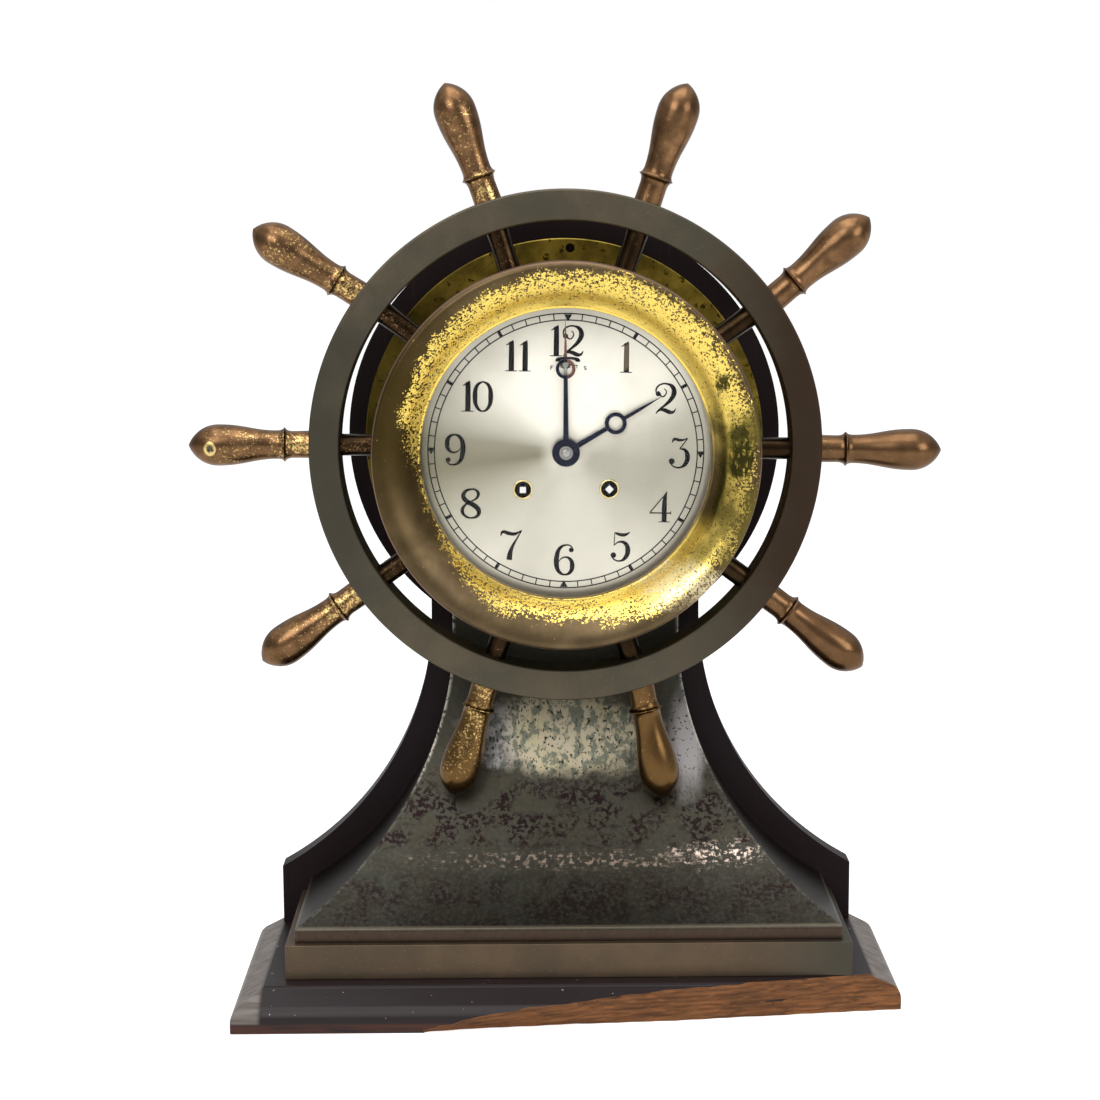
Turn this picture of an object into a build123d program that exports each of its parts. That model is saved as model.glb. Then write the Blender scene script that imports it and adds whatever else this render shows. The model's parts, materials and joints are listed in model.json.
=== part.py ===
from build123d import *
import math
import os

# A ship wheel clock on a waisted metal pedestal. Millimetres, +Z up, the dial faces -Y.
# The origin is on the table, under the middle of the plinth. All depths are measured
# from the front face of the backboard, and are positive towards the viewer.

# Plinth
plinth_w = 355.0
plinth_depth = 142.4
plinth_h = 20.8
ovolo_w = 16.1
ovolo_edge_h = 5.8
ovolo_round_w = 4.5
ovolo_round_h = 7.8
ovolo_step_h = 1.3

# The split along the plinth's front right edge: places along half the width, how far
# the split reaches in at the foot, and how much less it reaches in at the top
split_place_shares = (-0.44, -0.42, -0.285, -0.12, 0, 0.14, 0.31, 0.58, 0.85, 1.05)
split_foot_shares = (-0.02, 0.12, 0.31, 0.47, 0.57, 0.66, 0.76, 1.05, 1.36, 1.55)
split_lean_shares = (1, 1, 0.73, 0.56, 0.5, 0.26, 0.12, 0.24, 0.11, -0.06)

# Backboard
board_t = 16.0
board_disc_r = 119.0
board_disc_up_h = 2.0
board_neck_w = 149.6
board_foot_w = 323.0
board_foot_h = 33.0
board_flare_r = 167.7

# Foot band and pedestal
band_w = 301.0
band_depth = 101.2
band_h = 18.8
band_wall_t = 5.0
band_pad_w = 8.4
band_pad_h = 9.0
step_inset_w = 4.8
step_h = 7.2
pedestal_neck_w = 125.3
pedestal_flare_r = 165.6
pedestal_wall_t = 4.0
saddle_t = 5.0
saddle_gap = 0.2
lug_w = 16.0
lug_t = 9.0
lug_h = 14.0
lug_drop_share = 0.62

# Wheel
wheel_z = 298.1
rim_r = 136.8
rim_w = 16.5
rim_t = 22.0
handle_gap = 4.8
rim_edge_w = 0.9
spoke_count = 10
spoke_r = 5.9
stud_r = 3.9
stud_l = 11.0
stud_gap = 0.1

# Handles
ferrule_r = 7.35
ferrule_l = 12.7
collar_r = 9.2
collar_l = 1.9
grip_neck_r = 7.1
grip_r = 11.1
grip_belly_l = 34.5
grip_l = 50.4
grip_flare_share = 0.4
grip_tip_shares = (0.62, 0.3)

# Case of the clock
drum_r = 93.0
drum_wall_t = 3.0
drum_depth = 74.6
drum_lip_r = 94.5
drum_lip_t = 4.0
flange_r = 109.7
flange_t = 3.2
flange_screw_r = 104.5
flange_hole_r = 2.5
flange_hole_angles = (88.0, 208.0, 328.0)

# Bezel and glass
bezel_r = 100.9
bezel_slope_h = 15.6
bezel_opening_r = 76.2
bezel_land_h = 9.3
bezel_lip_w = 3.6
bezel_side_h = 7.0
bezel_back_r = 96.5
bezel_back_h = 1.6
bezel_bore_r = 90.0
bezel_gap = 0.3
bezel_web_t = 3.4
bezel_land_t = 1.7
bezel_bulge_h = 1.4
crystal_r = 80.0
crystal_t = 2.0
crystal_gap = 0.3
crystal_seat_gap = 0.1
retainer_w = 4.0
retainer_t = 1.5

# Hinge and catch of the bezel
knuckle_r = 2.6
knuckle_l = 12.0
knuckle_gap = 0.3
hinge_pin_r = 1.2
hinge_pin_over_l = 1.5
hinge_x = 98.0
hinge_set_h = 0.7
hinge_arm_l = 5.0
hinge_fit_gap = 0.05
catch_w = 14.0
catch_t = 3.2
catch_l = 9.0
catch_front_l = 3.0

# Dial and hands
dial_r = 84.0
dial_t = 1.2
dial_set_h = 5.6
dial_hole_r = 5.2
dial_foot_r = 1.6
dial_foot_ring_r = 58.0
grommet_r = 5.2
grommet_bore_r = 4.2
grommet_proud_h = 0.5
grommet_fit_gap = 0.1
hand_t = 0.8
hour_hand_h = 3.0
minute_hand_h = 2.4
hub_r = 7.3
minute_tip_z = 71.5
minute_ring_z = 44.0
minute_ring_r = 5.15
minute_ring_bore_r = 3.4
minute_root_w = 3.0
minute_neck_w = 2.0
minute_point_w = 1.1
hour_hub_r = 6.4
hour_tip_z = 59.0
hour_ring_z = 30.2
hour_ring_r = 5.75
hour_ring_bore_r = 3.7
hour_root_w = 3.1
hour_neck_w = 2.1
hour_point_w = 1.7
hour_shown = 2
nut_r = 3.7
nut_h = 1.8

# Regulator
index_z = 46.0
index_post_r = 1.6
index_arm_l = 8.0
index_arm_w = 1.8
index_arm_t = 0.8
index_slot_r = 2.6

# Movement: plates, pillars and posts
plate_r = 80.0
plate_t = 2.0
dial_stand_h = 6.1
barrel_room_h = 4.7
pillar_r = 3.0
pillar_ring_r = 70.0
pillar_angles = (60.0, 120.0, 240.0, 300.0)
post_r = 4.0
post_ring_r = 72.0
post_angles = (90.0, 210.0, 330.0)
pivot_r = 1.0
pivot_fit_gap = 0.05
pivot_seat_l = 4.0
arbor_r = 2.0

# Teeth, as shares of the module and of the pitch
addendum_share = 0.75
dedendum_share = 1.0
tooth_shares = (0.46, 0.2)

# Barrels and winding arbors
winding_x = 22.8
winding_z = 19.9
great_teeth = 36
great_pinion_teeth = 9
great_t = 2.2
barrel_r = 18.8
barrel_l = 15.5
great_gap = 2.0
strike_gap = 3.6
winding_arbor_r = 3.0
winding_square_w = 3.2
winding_square_l = 7.0
winding_proud_h = 1.6

# Going train
center_teeth = 40
third_pinion_teeth = 8
center_module = 0.9
center_wheel_t = 1.4
pinion_l = 4.0
third_teeth = 30
third_module = 0.9
third_angle = 118.0
third_wheel_gap = 5.2

# Motion work
motion_module = 0.75
cannon_teeth = 10
minute_teeth = 30
minute_pinion_teeth = 8
hour_teeth = 32
motion_t = 1.0
motion_gap = 0.6
minute_arbor_angle = 270.0
cannon_bore_r = 1.2
cannon_r = 1.9
hour_pipe_r = 3.0
pipe_fit_gap = 0.08

# Strike train
strike_teeth = 30
strike_module = 0.9
strike_angle = 50.0
lifting_pin_r = 0.8
lifting_pin_ring_r = 9.0
lifting_pin_l = 2.5
lifting_pin_count = 8
bell_r = 50.0
bell_t = 2.2
bell_h = 18.0
bell_crown_r = 30.0
bell_gap = 1.2
bell_post_r = 3.0
bell_foot_r = 6.0
hammer_x = 45.0
hammer_stud_r = 1.8
hammer_boss_r = 4.0
hammer_t = 3.0
hammer_w = 4.0
hammer_head_r = 4.5
hammer_head_l = 9.0
hammer_gap = 1.0

# Balance, carried on its own cock
balance_z = 46.0
balance_r = 13.0
balance_w = 1.8
balance_t = 1.4
balance_arm_w = 2.0
balance_up_h = 13.5
staff_r = 0.9
cock_w = 9.0
cock_t = 2.0
cock_l = 22.0
cock_up_h = 21.5
cock_foot_w = 8.0

# Screws
wood_screw_r = 2.0
wood_screw_head_r = 4.2
wood_screw_head_h = 2.4
wood_screw_l = 26.0
foot_screw_x = 120.0
foot_screw_y_share = 0.3
board_screw_l = 22.0
flange_screw_l = 12.0
flange_screw_in_l = 8.0
flange_screw_head_r = 4.4
flange_screw_head_h = 2.0
screw_gap = 0.1
slot_w = 0.9
slot_h = 0.8

# Overrun for cuts
over_l = 4.0

# Places worked out from the sizes above
board_front = plinth_depth / 2 - board_t
board_back = board_front + board_t
band_top = plinth_h + band_h
pedestal_z = band_top + step_h
pedestal_half = band_w / 2 - step_inset_w
pedestal_depth = band_depth - step_inset_w
neck_depth = pedestal_depth - (pedestal_half - pedestal_neck_w / 2)
great_module = 2 * math.hypot(winding_x, winding_z) / (great_teeth + great_pinion_teeth)
rim_bore_r = rim_r - rim_w

# Depths, from the drum's mouth forwards to the bezel and back to the movement
bezel_land_depth = drum_depth + bezel_land_h
bezel_depth = bezel_land_depth + bezel_slope_h
dial_depth = drum_depth - dial_set_h
hour_hand_depth = dial_depth + hour_hand_h
minute_hand_depth = hour_hand_depth + minute_hand_h
winding_depth = dial_depth + winding_proud_h
front_plate_depth = dial_depth - dial_stand_h
great_l = great_gap + strike_gap + great_t + barrel_l
back_plate_depth = front_plate_depth - plate_t - great_l - barrel_room_h
balance_depth = back_plate_depth + balance_up_h
cock_depth = back_plate_depth + cock_up_h


def depth(d):
    """The y of a plane that lies d in front of the backboard."""
    return board_front - d


def rod(r, near, far, x=0, z=0):
    """A round rod along the dial's axis, between two depths, near the viewer and far."""
    y = (depth(near) + depth(far)) / 2
    return Pos(x, y, wheel_z + z) * Rot(90, 0, 0) * Cylinder(r, near - far)


def tube(r, bore, near, far, x=0, z=0):
    return rod(r, near, far, x, z) - rod(bore, near + over_l, far - over_l, x, z)


def front_plane(d, z=0):
    """The plane that faces the viewer at a depth: x to the right, y up."""
    return Plane(origin=(0, depth(d), z), x_dir=(1, 0, 0), z_dir=(0, -1, 0))


def plate(face, near, far):
    """A flat face drawn about the dial's centre, given a thickness between two depths."""
    return extrude(front_plane(far, wheel_z) * face, near - far)


def turned(*edges):
    """A solid turned about the dial's axis from edges drawn as radius and depth."""
    return Pos(0, board_front, wheel_z) * revolve(make_face(list(edges)), Axis.Y)


def corner(r, d):
    return (r, -d)


def polar(r, angle):
    return (r * math.cos(math.radians(angle)), r * math.sin(math.radians(angle)))


def block(x0, x1, y0, y1, z0, z1):
    return Pos((x0 + x1) / 2, (y0 + y1) / 2, (z0 + z1) / 2) * Box(x1 - x0, y1 - y0, z1 - z0)


def toothed(teeth, module, near, far, place, mate_angle, facing=False):
    """A spur wheel with straight flanks, with a tooth, or a gap, towards its mate."""
    pitch_r = teeth * module / 2
    tip_r = pitch_r + addendum_share * module
    root_r = pitch_r - dedendum_share * module
    pitch = 360 / teeth
    first = mate_angle + (pitch / 2 if facing else 0)
    points = []
    for n in range(teeth):
        for r, side in ((root_r, -1), (tip_r, -1), (tip_r, 1), (root_r, 1)):
            share = tooth_shares[0] if r == root_r else tooth_shares[1]
            x, z = polar(r, first + n * pitch + side * share * pitch / 2)
            points.append((place[0] + x, place[1] + z))
    return plate(make_face(Polyline(*points, close=True)), near, far)


def flare(half_top, r, half_foot, foot_z, top_z, bottom_z):
    """One face, x outwards and z up, whose sides sweep in from a foot to a neck."""
    arc_z = foot_z + math.sqrt(r ** 2 - (half_top + r - half_foot) ** 2)
    face = Pos(0, (bottom_z + arc_z) / 2) * Rectangle(2 * half_foot, arc_z - bottom_z)
    for side in (-1, 1):
        face -= Pos(side * (half_top + r), arc_z) * Circle(r)
    face += Pos(0, (arc_z + top_z) / 2) * Rectangle(2 * half_top, top_z - arc_z)
    return face


# Plinth

def ovolo_profile(half):
    """The plinth's cross-section out to one side of its middle."""
    top_edge = half - ovolo_w
    step_z = plinth_h - ovolo_step_h
    round_end = (half - ovolo_round_w, ovolo_edge_h + ovolo_round_h)
    outline = [
        Polyline((-half, step_z), (-half, 0), (half, 0), (half, ovolo_edge_h)),
        TangentArc((half, ovolo_edge_h), round_end, tangent=(0, 1)),
        Polyline(round_end, (top_edge, step_z), (top_edge, plinth_h), (-half, plinth_h),
                 (-half, step_z)),
    ]
    return make_face(outline)


def split_cutter():
    """The wood that broke away: sections along X, joined by flat stretches."""
    sections = []
    front = -plinth_depth / 2
    for place, foot, lean in zip(split_place_shares, split_foot_shares, split_lean_shares):
        x = place * plinth_w / 2
        foot_y = front + foot * plinth_h
        lower_y = foot_y + lean * over_l
        upper_y = foot_y - lean * (plinth_h + over_l)
        outside = front - 2 * plinth_h
        corners = [(x, outside, -over_l), (x, lower_y, -over_l),
                   (x, upper_y, plinth_h + over_l), (x, outside, plinth_h + over_l)]
        sections.append(make_face(Polyline(*corners, close=True)))
    return loft(sections, ruled=True)


def make_plinth():
    across = ovolo_profile(plinth_w / 2)
    across = across & mirror(across, Plane.YZ)
    sides = extrude(Plane.XZ * across, plinth_depth / 2, both=True)
    along = ovolo_profile(plinth_depth / 2)
    front = extrude(Plane(origin=(0, 0, 0), x_dir=(0, -1, 0), z_dir=(-1, 0, 0)) * along,
                    plinth_w / 2, both=True)
    body = (sides & front) - split_cutter()
    for x, y in foot_screw_places():
        body -= Pos(x, y, plinth_h / 2) * Cylinder(wood_screw_r + screw_gap, plinth_h + over_l)
        sink = Cylinder(wood_screw_head_r + screw_gap, 2 * (wood_screw_head_h + screw_gap))
        body -= Pos(x, y, 0) * sink
    return body


def foot_screw_places():
    y = board_front - pedestal_depth / 2
    dy = pedestal_depth * foot_screw_y_share
    return [(side * foot_screw_x, y + end * dy) for side in (-1, 1) for end in (-1, 1)]


# Backboard

def make_backboard():
    face = flare(board_neck_w / 2, board_flare_r, board_foot_w / 2,
                 plinth_h + board_foot_h, wheel_z, plinth_h)
    face += Pos(0, wheel_z + board_disc_up_h) * Circle(board_disc_r)
    body = extrude(front_plane(-board_t) * face, board_t)
    for x, z in board_screw_places():
        hole = Rot(90, 0, 0) * Cylinder(wood_screw_r + screw_gap, board_t + over_l)
        body -= Pos(x, board_front + board_t / 2, z) * hole
        sink = Rot(90, 0, 0) * Cylinder(wood_screw_head_r + screw_gap,
                                        2 * (wood_screw_head_h + screw_gap))
        body -= Pos(x, board_back, z) * sink
    for angle in flange_hole_angles[1:]:
        x, z = polar(flange_screw_r, angle)
        body -= rod(wood_screw_r + screw_gap, over_l, -flange_screw_l, x, z)
    return body


def lug_place():
    """Middle of the lugs inside the pedestal that the board's screws hold."""
    x = pedestal_half * lug_drop_share
    return x, pedestal_z + lug_h / 2


def board_screw_places():
    x, z = lug_place()
    return [(side * x, z) for side in (-1, 1)]


# Foot band and pedestal

def make_foot_band():
    y0 = depth(band_depth)
    body = block(-band_w / 2, band_w / 2, y0, board_front, plinth_h, band_top)
    hollow = block(-band_w / 2 + band_wall_t, band_w / 2 - band_wall_t, y0 + band_wall_t,
                   board_front - band_wall_t, plinth_h - over_l, band_top + over_l)
    body -= hollow
    for x, y in foot_screw_places():
        side = 1 if x > 0 else -1
        edge = side * (band_w / 2 - band_wall_t / 2)
        inner = x - side * band_pad_w
        pad = block(min(inner, edge), max(inner, edge), y - band_pad_w, y + band_pad_w,
                    plinth_h, plinth_h + band_pad_h)
        pad -= Pos(x, y, plinth_h) * Cylinder(wood_screw_r + screw_gap, band_h * 2)
        body += pad
    return body


def flare_z():
    """Height at which the pedestal's flares end in the neck."""
    reach = pedestal_neck_w / 2 + pedestal_flare_r - pedestal_half
    return pedestal_z + math.sqrt(pedestal_flare_r ** 2 - reach ** 2)


def pedestal_solid(wall, top_z, bottom_z):
    """The pedestal's mitred form, or the hollow a wall's thickness inside it."""
    foot = pedestal_half - wall
    neck = pedestal_neck_w / 2 - wall
    r = pedestal_flare_r + wall
    arc_z = flare_z()
    front = Pos(0, (bottom_z + arc_z) / 2) * Rectangle(2 * foot, arc_z - bottom_z)
    for side in (-1, 1):
        front -= Pos(side * (neck + r), arc_z) * Circle(r)
    front += Pos(0, (arc_z + top_z) / 2) * Rectangle(2 * neck, top_z - arc_z)
    across = extrude(front_plane(0) * front, pedestal_depth)
    deep = pedestal_depth - wall
    throat = neck_depth - wall
    side = Pos(deep / 2, (bottom_z + arc_z) / 2) * Rectangle(deep, arc_z - bottom_z)
    side -= Pos(throat + r, arc_z) * Circle(r)
    side += Pos(throat / 2, (arc_z + top_z) / 2) * Rectangle(throat, top_z - arc_z)
    lengthways = Plane(origin=(0, board_front, 0), x_dir=(0, -1, 0), z_dir=(-1, 0, 0))
    return across & extrude(lengthways * side, pedestal_half, both=True)


def make_pedestal():
    body = pedestal_solid(0, wheel_z, pedestal_z - step_h / 2)
    body += block(-pedestal_half, pedestal_half, depth(pedestal_depth), board_front,
                  band_top, pedestal_z)
    saddle_r = drum_r + saddle_gap
    hollow = pedestal_solid(pedestal_wall_t, wheel_z, band_top - over_l)
    hollow -= rod(saddle_r + saddle_t, band_depth, -over_l)
    body -= hollow
    body -= rod(saddle_r, band_depth, -over_l)
    body -= rod(flange_r + saddle_gap, flange_t + saddle_gap, -over_l)
    for x, z in board_screw_places():
        lug = block(x - lug_w / 2, x + lug_w / 2, board_front - lug_t, board_front,
                    z - lug_h / 2, z + lug_h / 2)
        brace = block(x - lug_w / 2, x + lug_w / 2, board_front - lug_t, board_front,
                      z - lug_h / 2, wheel_z)
        brace &= pedestal_solid(0, wheel_z, band_top)
        pilot = Rot(90, 0, 0) * Cylinder(wood_screw_r + screw_gap, 2 * lug_t + over_l)
        body += lug + brace
        body -= Pos(x, board_front, z) * pilot
    return body


# Wheel

def wheel_depth():
    """The middle of the wheel, which stands clear of the pedestal at the lowest handles."""
    belly_r = rim_r + ferrule_l + collar_l + grip_belly_l
    belly_z = wheel_z - belly_r * math.cos(math.pi / spoke_count)
    rise = max(0, flare_z() - belly_z)
    sweep = pedestal_flare_r - math.sqrt(max(0, pedestal_flare_r ** 2 - rise ** 2))
    return neck_depth + sweep + grip_r + handle_gap


def make_rim():
    front = wheel_depth() + rim_t / 2
    back = wheel_depth() - rim_t / 2
    points = [corner(rim_bore_r + rim_edge_w, front), corner(rim_r - rim_edge_w, front),
              corner(rim_r, front - rim_edge_w), corner(rim_r, back + rim_edge_w),
              corner(rim_r - rim_edge_w, back), corner(rim_bore_r + rim_edge_w, back),
              corner(rim_bore_r, back + rim_edge_w), corner(rim_bore_r, front - rim_edge_w)]
    ring = turned(Polyline(*points, close=True))
    for n in range(spoke_count):
        ring -= spoke_place(n) * Pos(0, 0, rim_r) * Cylinder(spoke_r + stud_gap, rim_r)
    return ring


def spoke_place(n):
    """Frame of one spoke: Z runs out from the wheel's centre along the spoke."""
    return Pos(0, depth(wheel_depth()), wheel_z) * Rot(0, 90 - n * 360 / spoke_count, 0)


def make_spoke(n):
    start = drum_r + stud_gap
    rod_l = rim_r - start
    body = Pos(0, 0, start + rod_l / 2) * Cylinder(spoke_r, rod_l)
    inner = Pos(0, 0, start - drum_wall_t / 2) * Cylinder(stud_r, drum_wall_t)
    outer = Pos(0, 0, rim_r + stud_l / 2) * Cylinder(stud_r, stud_l)
    return spoke_place(n) * (body + inner + outer)


def make_handle(n):
    collar_z = ferrule_l
    grip_z = collar_z + collar_l
    belly_z = grip_z + grip_belly_l
    tip_z = grip_z + grip_l
    bead_r = collar_l / 2
    outline = [
        Polyline((0, 0), (ferrule_r, 0), (ferrule_r, collar_z), (collar_r - bead_r, collar_z)),
        ThreePointArc((collar_r - bead_r, collar_z), (collar_r, collar_z + bead_r),
                      (collar_r - bead_r, grip_z)),
        Line((collar_r - bead_r, grip_z), (grip_neck_r, grip_z)),
        Bezier((grip_neck_r, grip_z), (grip_neck_r, grip_z + grip_flare_share * grip_belly_l),
               (grip_r, belly_z - grip_flare_share * grip_belly_l), (grip_r, belly_z)),
        Bezier((grip_r, belly_z), (grip_r, belly_z + (tip_z - belly_z) * grip_tip_shares[0]),
               (grip_r * grip_tip_shares[1], tip_z), (0, tip_z)),
        Line((0, tip_z), (0, 0)),
    ]
    body = revolve(Plane.XZ * make_face(outline), Axis.Z)
    bore_l = stud_l + stud_gap
    body -= Pos(0, 0, 0) * Cylinder(stud_r + stud_gap, 2 * bore_l)
    return spoke_place(n) * Pos(0, 0, rim_r) * body


# Case

def make_drum():
    inner_r = drum_r - drum_wall_t
    points = [corner(0, 0), corner(flange_r, 0), corner(flange_r, flange_t),
              corner(drum_r, flange_t), corner(drum_r, drum_depth - drum_lip_t),
              corner(drum_lip_r, drum_depth - drum_lip_t), corner(drum_lip_r, drum_depth),
              corner(inner_r, drum_depth), corner(inner_r, flange_t), corner(0, flange_t)]
    body = turned(Polyline(*points, close=True))
    for angle in flange_hole_angles:
        x, z = polar(flange_screw_r, angle)
        body -= rod(flange_hole_r, flange_t + over_l, -over_l, x, z)
    for n in range(spoke_count):
        hole = Cylinder(stud_r + stud_gap, 2 * (drum_wall_t + over_l))
        body -= spoke_place(n) * Pos(0, 0, drum_r) * hole
    body += knuckle(0)
    arm = hinge_block(knuckle_l / 2, drum_depth, drum_depth - drum_lip_t, hinge_arm_l)
    body += arm - rod(inner_r, drum_depth + over_l, 0)
    for side in (-1, 1):
        body -= knuckle_room(side)
    return body - hinge_bore()


def hinge_axis_y():
    return depth(drum_depth - hinge_set_h)


def knuckle(place):
    z = wheel_z + place * (knuckle_l + knuckle_gap)
    return Pos(-hinge_x, hinge_axis_y(), z) * Cylinder(knuckle_r, knuckle_l)


def knuckle_room(place):
    z = wheel_z + place * (knuckle_l + knuckle_gap)
    return Pos(-hinge_x, hinge_axis_y(), z) * Cylinder(knuckle_r + knuckle_gap,
                                                      knuckle_l + 2 * knuckle_gap)


def hinge_block(half_h, near, far, reach, place=0):
    z = wheel_z + place * (knuckle_l + knuckle_gap)
    return block(-hinge_x, -hinge_x + reach, depth(near), depth(far), z - half_h, z + half_h)


def hinge_bore():
    length = 3 * knuckle_l + 2 * knuckle_gap + over_l
    return Pos(-hinge_x, hinge_axis_y(), wheel_z) * Cylinder(hinge_pin_r + hinge_fit_gap, length)


def make_hinge_pin():
    length = 3 * knuckle_l + 2 * knuckle_gap + 2 * hinge_pin_over_l
    return Pos(-hinge_x, hinge_axis_y(), wheel_z) * Cylinder(hinge_pin_r, length)


def bezel_back():
    return drum_depth + bezel_gap


def make_bezel():
    back = bezel_back()
    rabbet_r = crystal_r + crystal_gap
    glass_back = bezel_land_depth - bezel_web_t
    crest_r = bezel_r - bezel_lip_w
    inner = corner(bezel_opening_r, bezel_land_depth)
    crest = corner(crest_r, bezel_depth)
    middle = corner((bezel_opening_r + crest_r) / 2 - bezel_bulge_h / 2,
                    (bezel_land_depth + bezel_depth) / 2 + bezel_bulge_h)
    lip = corner(bezel_r, bezel_depth - bezel_lip_w)
    side = corner(bezel_r, bezel_depth - bezel_lip_w - bezel_side_h)
    foot = corner(bezel_back_r, back + bezel_back_h)
    outline = [
        ThreePointArc(inner, middle, crest),
        TangentArc(lip, crest, tangent=(0, -1)),
        Line(lip, side),
        TangentArc(side, foot, tangent=(0, 1)),
        Polyline(foot, corner(bezel_back_r, back), corner(bezel_bore_r, back),
                 corner(bezel_bore_r, glass_back), corner(rabbet_r, glass_back),
                 corner(rabbet_r, bezel_land_depth - bezel_land_t),
                 corner(bezel_opening_r, bezel_land_depth - bezel_land_t), inner),
    ]
    body = turned(*outline)
    for place in (-1, 1):
        body += knuckle(place)
        body += hinge_block(knuckle_l / 2, back + knuckle_r, back, hinge_arm_l, place)
    body -= knuckle_room(0)
    notch = hinge_block(knuckle_l / 2 + knuckle_gap, back + knuckle_gap, back - over_l, hinge_arm_l)
    return body - notch - hinge_bore()


def crystal_front():
    return bezel_land_depth - bezel_land_t - crystal_seat_gap


def make_crystal():
    return rod(crystal_r, crystal_front(), crystal_front() - crystal_t)


def make_retainer():
    near = crystal_front() - crystal_t
    outer = bezel_bore_r - crystal_gap
    return tube(outer, crystal_r - retainer_w, near, near - retainer_t)


def make_catch():
    inner_r = drum_r - drum_wall_t
    x1 = math.sqrt(inner_r ** 2 - (catch_w / 2) ** 2)
    x0 = x1 - catch_t
    return block(x0, x1, depth(drum_depth + catch_front_l), depth(drum_depth - catch_l),
                 wheel_z - catch_w / 2, wheel_z + catch_w / 2)


def make_flange_screws():
    screws = []
    for angle in flange_hole_angles[1:]:
        x, z = polar(flange_screw_r, angle)
        head = rod(flange_screw_head_r, flange_t + flange_screw_head_h, flange_t, x, z)
        head -= Pos(x, depth(flange_t + flange_screw_head_h), wheel_z + z) * Box(
            2 * flange_screw_head_r, 2 * slot_h, slot_w)
        shank = rod(wood_screw_r, flange_t + flange_screw_head_h / 2,
                    -flange_screw_in_l, x, z)
        screws.append(head + shank)
    return Compound(screws)


# Screws of the stand

def wood_screw(length):
    """Countersunk head down at z = 0, point up."""
    head = Pos(0, 0, wood_screw_head_h / 2) * Cone(wood_screw_head_r, wood_screw_r,
                                                  wood_screw_head_h)
    shank = Pos(0, 0, length / 2) * Cylinder(wood_screw_r, length)
    slot = Box(2 * wood_screw_head_r, slot_w, 2 * slot_h)
    return head + shank - slot


def make_plinth_screws():
    return Compound([Pos(x, y, screw_gap) * wood_screw(wood_screw_l)
                     for x, y in foot_screw_places()])


def make_board_screws():
    return Compound([Pos(x, board_back - screw_gap, z) * Rot(90, 0, 0) * wood_screw(board_screw_l)
                     for x, z in board_screw_places()])


# Dial and hands

def winding_places():
    return [(-winding_x, -winding_z), (winding_x, -winding_z)]


def make_dial():
    body = rod(dial_r, dial_depth, dial_depth - dial_t)
    near = dial_depth + over_l
    far = dial_depth - dial_t - over_l
    body -= rod(dial_hole_r, near, far)
    for x, z in winding_places():
        body -= rod(grommet_bore_r + grommet_fit_gap + (grommet_r - grommet_bore_r) / 2, near, far, x, z)
    body -= rod(index_slot_r, near, far, 0, index_z)
    for angle in post_angles:
        x, z = polar(dial_foot_ring_r, angle + 180)
        body += rod(dial_foot_r, dial_depth - dial_t / 2, front_plate_depth - plate_t, x, z)
    return body


def make_grommets():
    lips = []
    for x, z in winding_places():
        neck_r = (grommet_r + grommet_bore_r) / 2
        lip = tube(grommet_r, grommet_bore_r, dial_depth + grommet_proud_h, dial_depth, x, z)
        neck = tube(neck_r, grommet_bore_r, dial_depth + grommet_proud_h / 2,
                    dial_depth - dial_t, x, z)
        lips.append(lip + neck)
    return Compound(lips)


def hand_face(hub, root_w, neck_w, point_w, ring_place, ring_r, ring_bore, tip, bore):
    """One hand drawn upright: hub, tapered blade, open ring and slender point."""
    blade = make_face(Polyline((-root_w / 2, 0), (root_w / 2, 0), (neck_w / 2, ring_place),
                               (-neck_w / 2, ring_place), close=True))
    belly = ring_place + (tip - ring_place) / 2
    point = make_face(Polyline((-neck_w / 2, ring_place), (neck_w / 2, ring_place),
                               (point_w / 2, belly), (0, tip), (-point_w / 2, belly),
                               close=True))
    face = Circle(hub) + blade + Pos(0, ring_place) * Circle(ring_r) + point
    return face - Pos(0, ring_place) * Circle(ring_bore) - Circle(bore)


def make_minute_hand():
    face = hand_face(hub_r, minute_root_w, minute_neck_w, minute_point_w, minute_ring_z,
                     minute_ring_r, minute_ring_bore_r, minute_tip_z, cannon_r)
    return plate(face, minute_hand_depth, minute_hand_depth - hand_t)


def make_hour_hand():
    face = hand_face(hour_hub_r, hour_root_w, hour_neck_w, hour_point_w, hour_ring_z,
                     hour_ring_r, hour_ring_bore_r, hour_tip_z, hour_pipe_r)
    turn = -hour_shown * 30
    return plate(Rot(0, 0, turn) * face, hour_hand_depth, hour_hand_depth - hand_t)


def make_nut():
    body = rod(nut_r, minute_hand_depth + nut_h, minute_hand_depth)
    slot = Pos(0, depth(minute_hand_depth + nut_h), wheel_z) * Box(2 * nut_r, 2 * slot_h, slot_w)
    bore = rod(cannon_bore_r + screw_gap, minute_hand_depth + nut_h + over_l, drum_wall_t)
    return body - slot - bore


# Movement

def arbors():
    """Every arbor that runs in the two plates: place and depths of its pivots."""
    return [winding_places()[0], winding_places()[1], (0, 0), third_place(), strike_place()]


def third_place():
    reach = (center_teeth + third_pinion_teeth) * center_module / 2
    return polar(reach, third_angle)


def strike_place():
    x, z = polar((great_teeth + great_pinion_teeth) * great_module / 2, strike_angle)
    return winding_x + x, -winding_z + z


def minute_place():
    reach = (cannon_teeth + minute_teeth) * motion_module / 2
    return polar(reach, minute_arbor_angle)


def post_places():
    return [polar(post_ring_r, angle) for angle in post_angles]


def pillar_places():
    return [polar(pillar_ring_r, angle) for angle in pillar_angles]


def dial_foot_places():
    return [polar(dial_foot_ring_r, angle + 180) for angle in post_angles]


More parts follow.
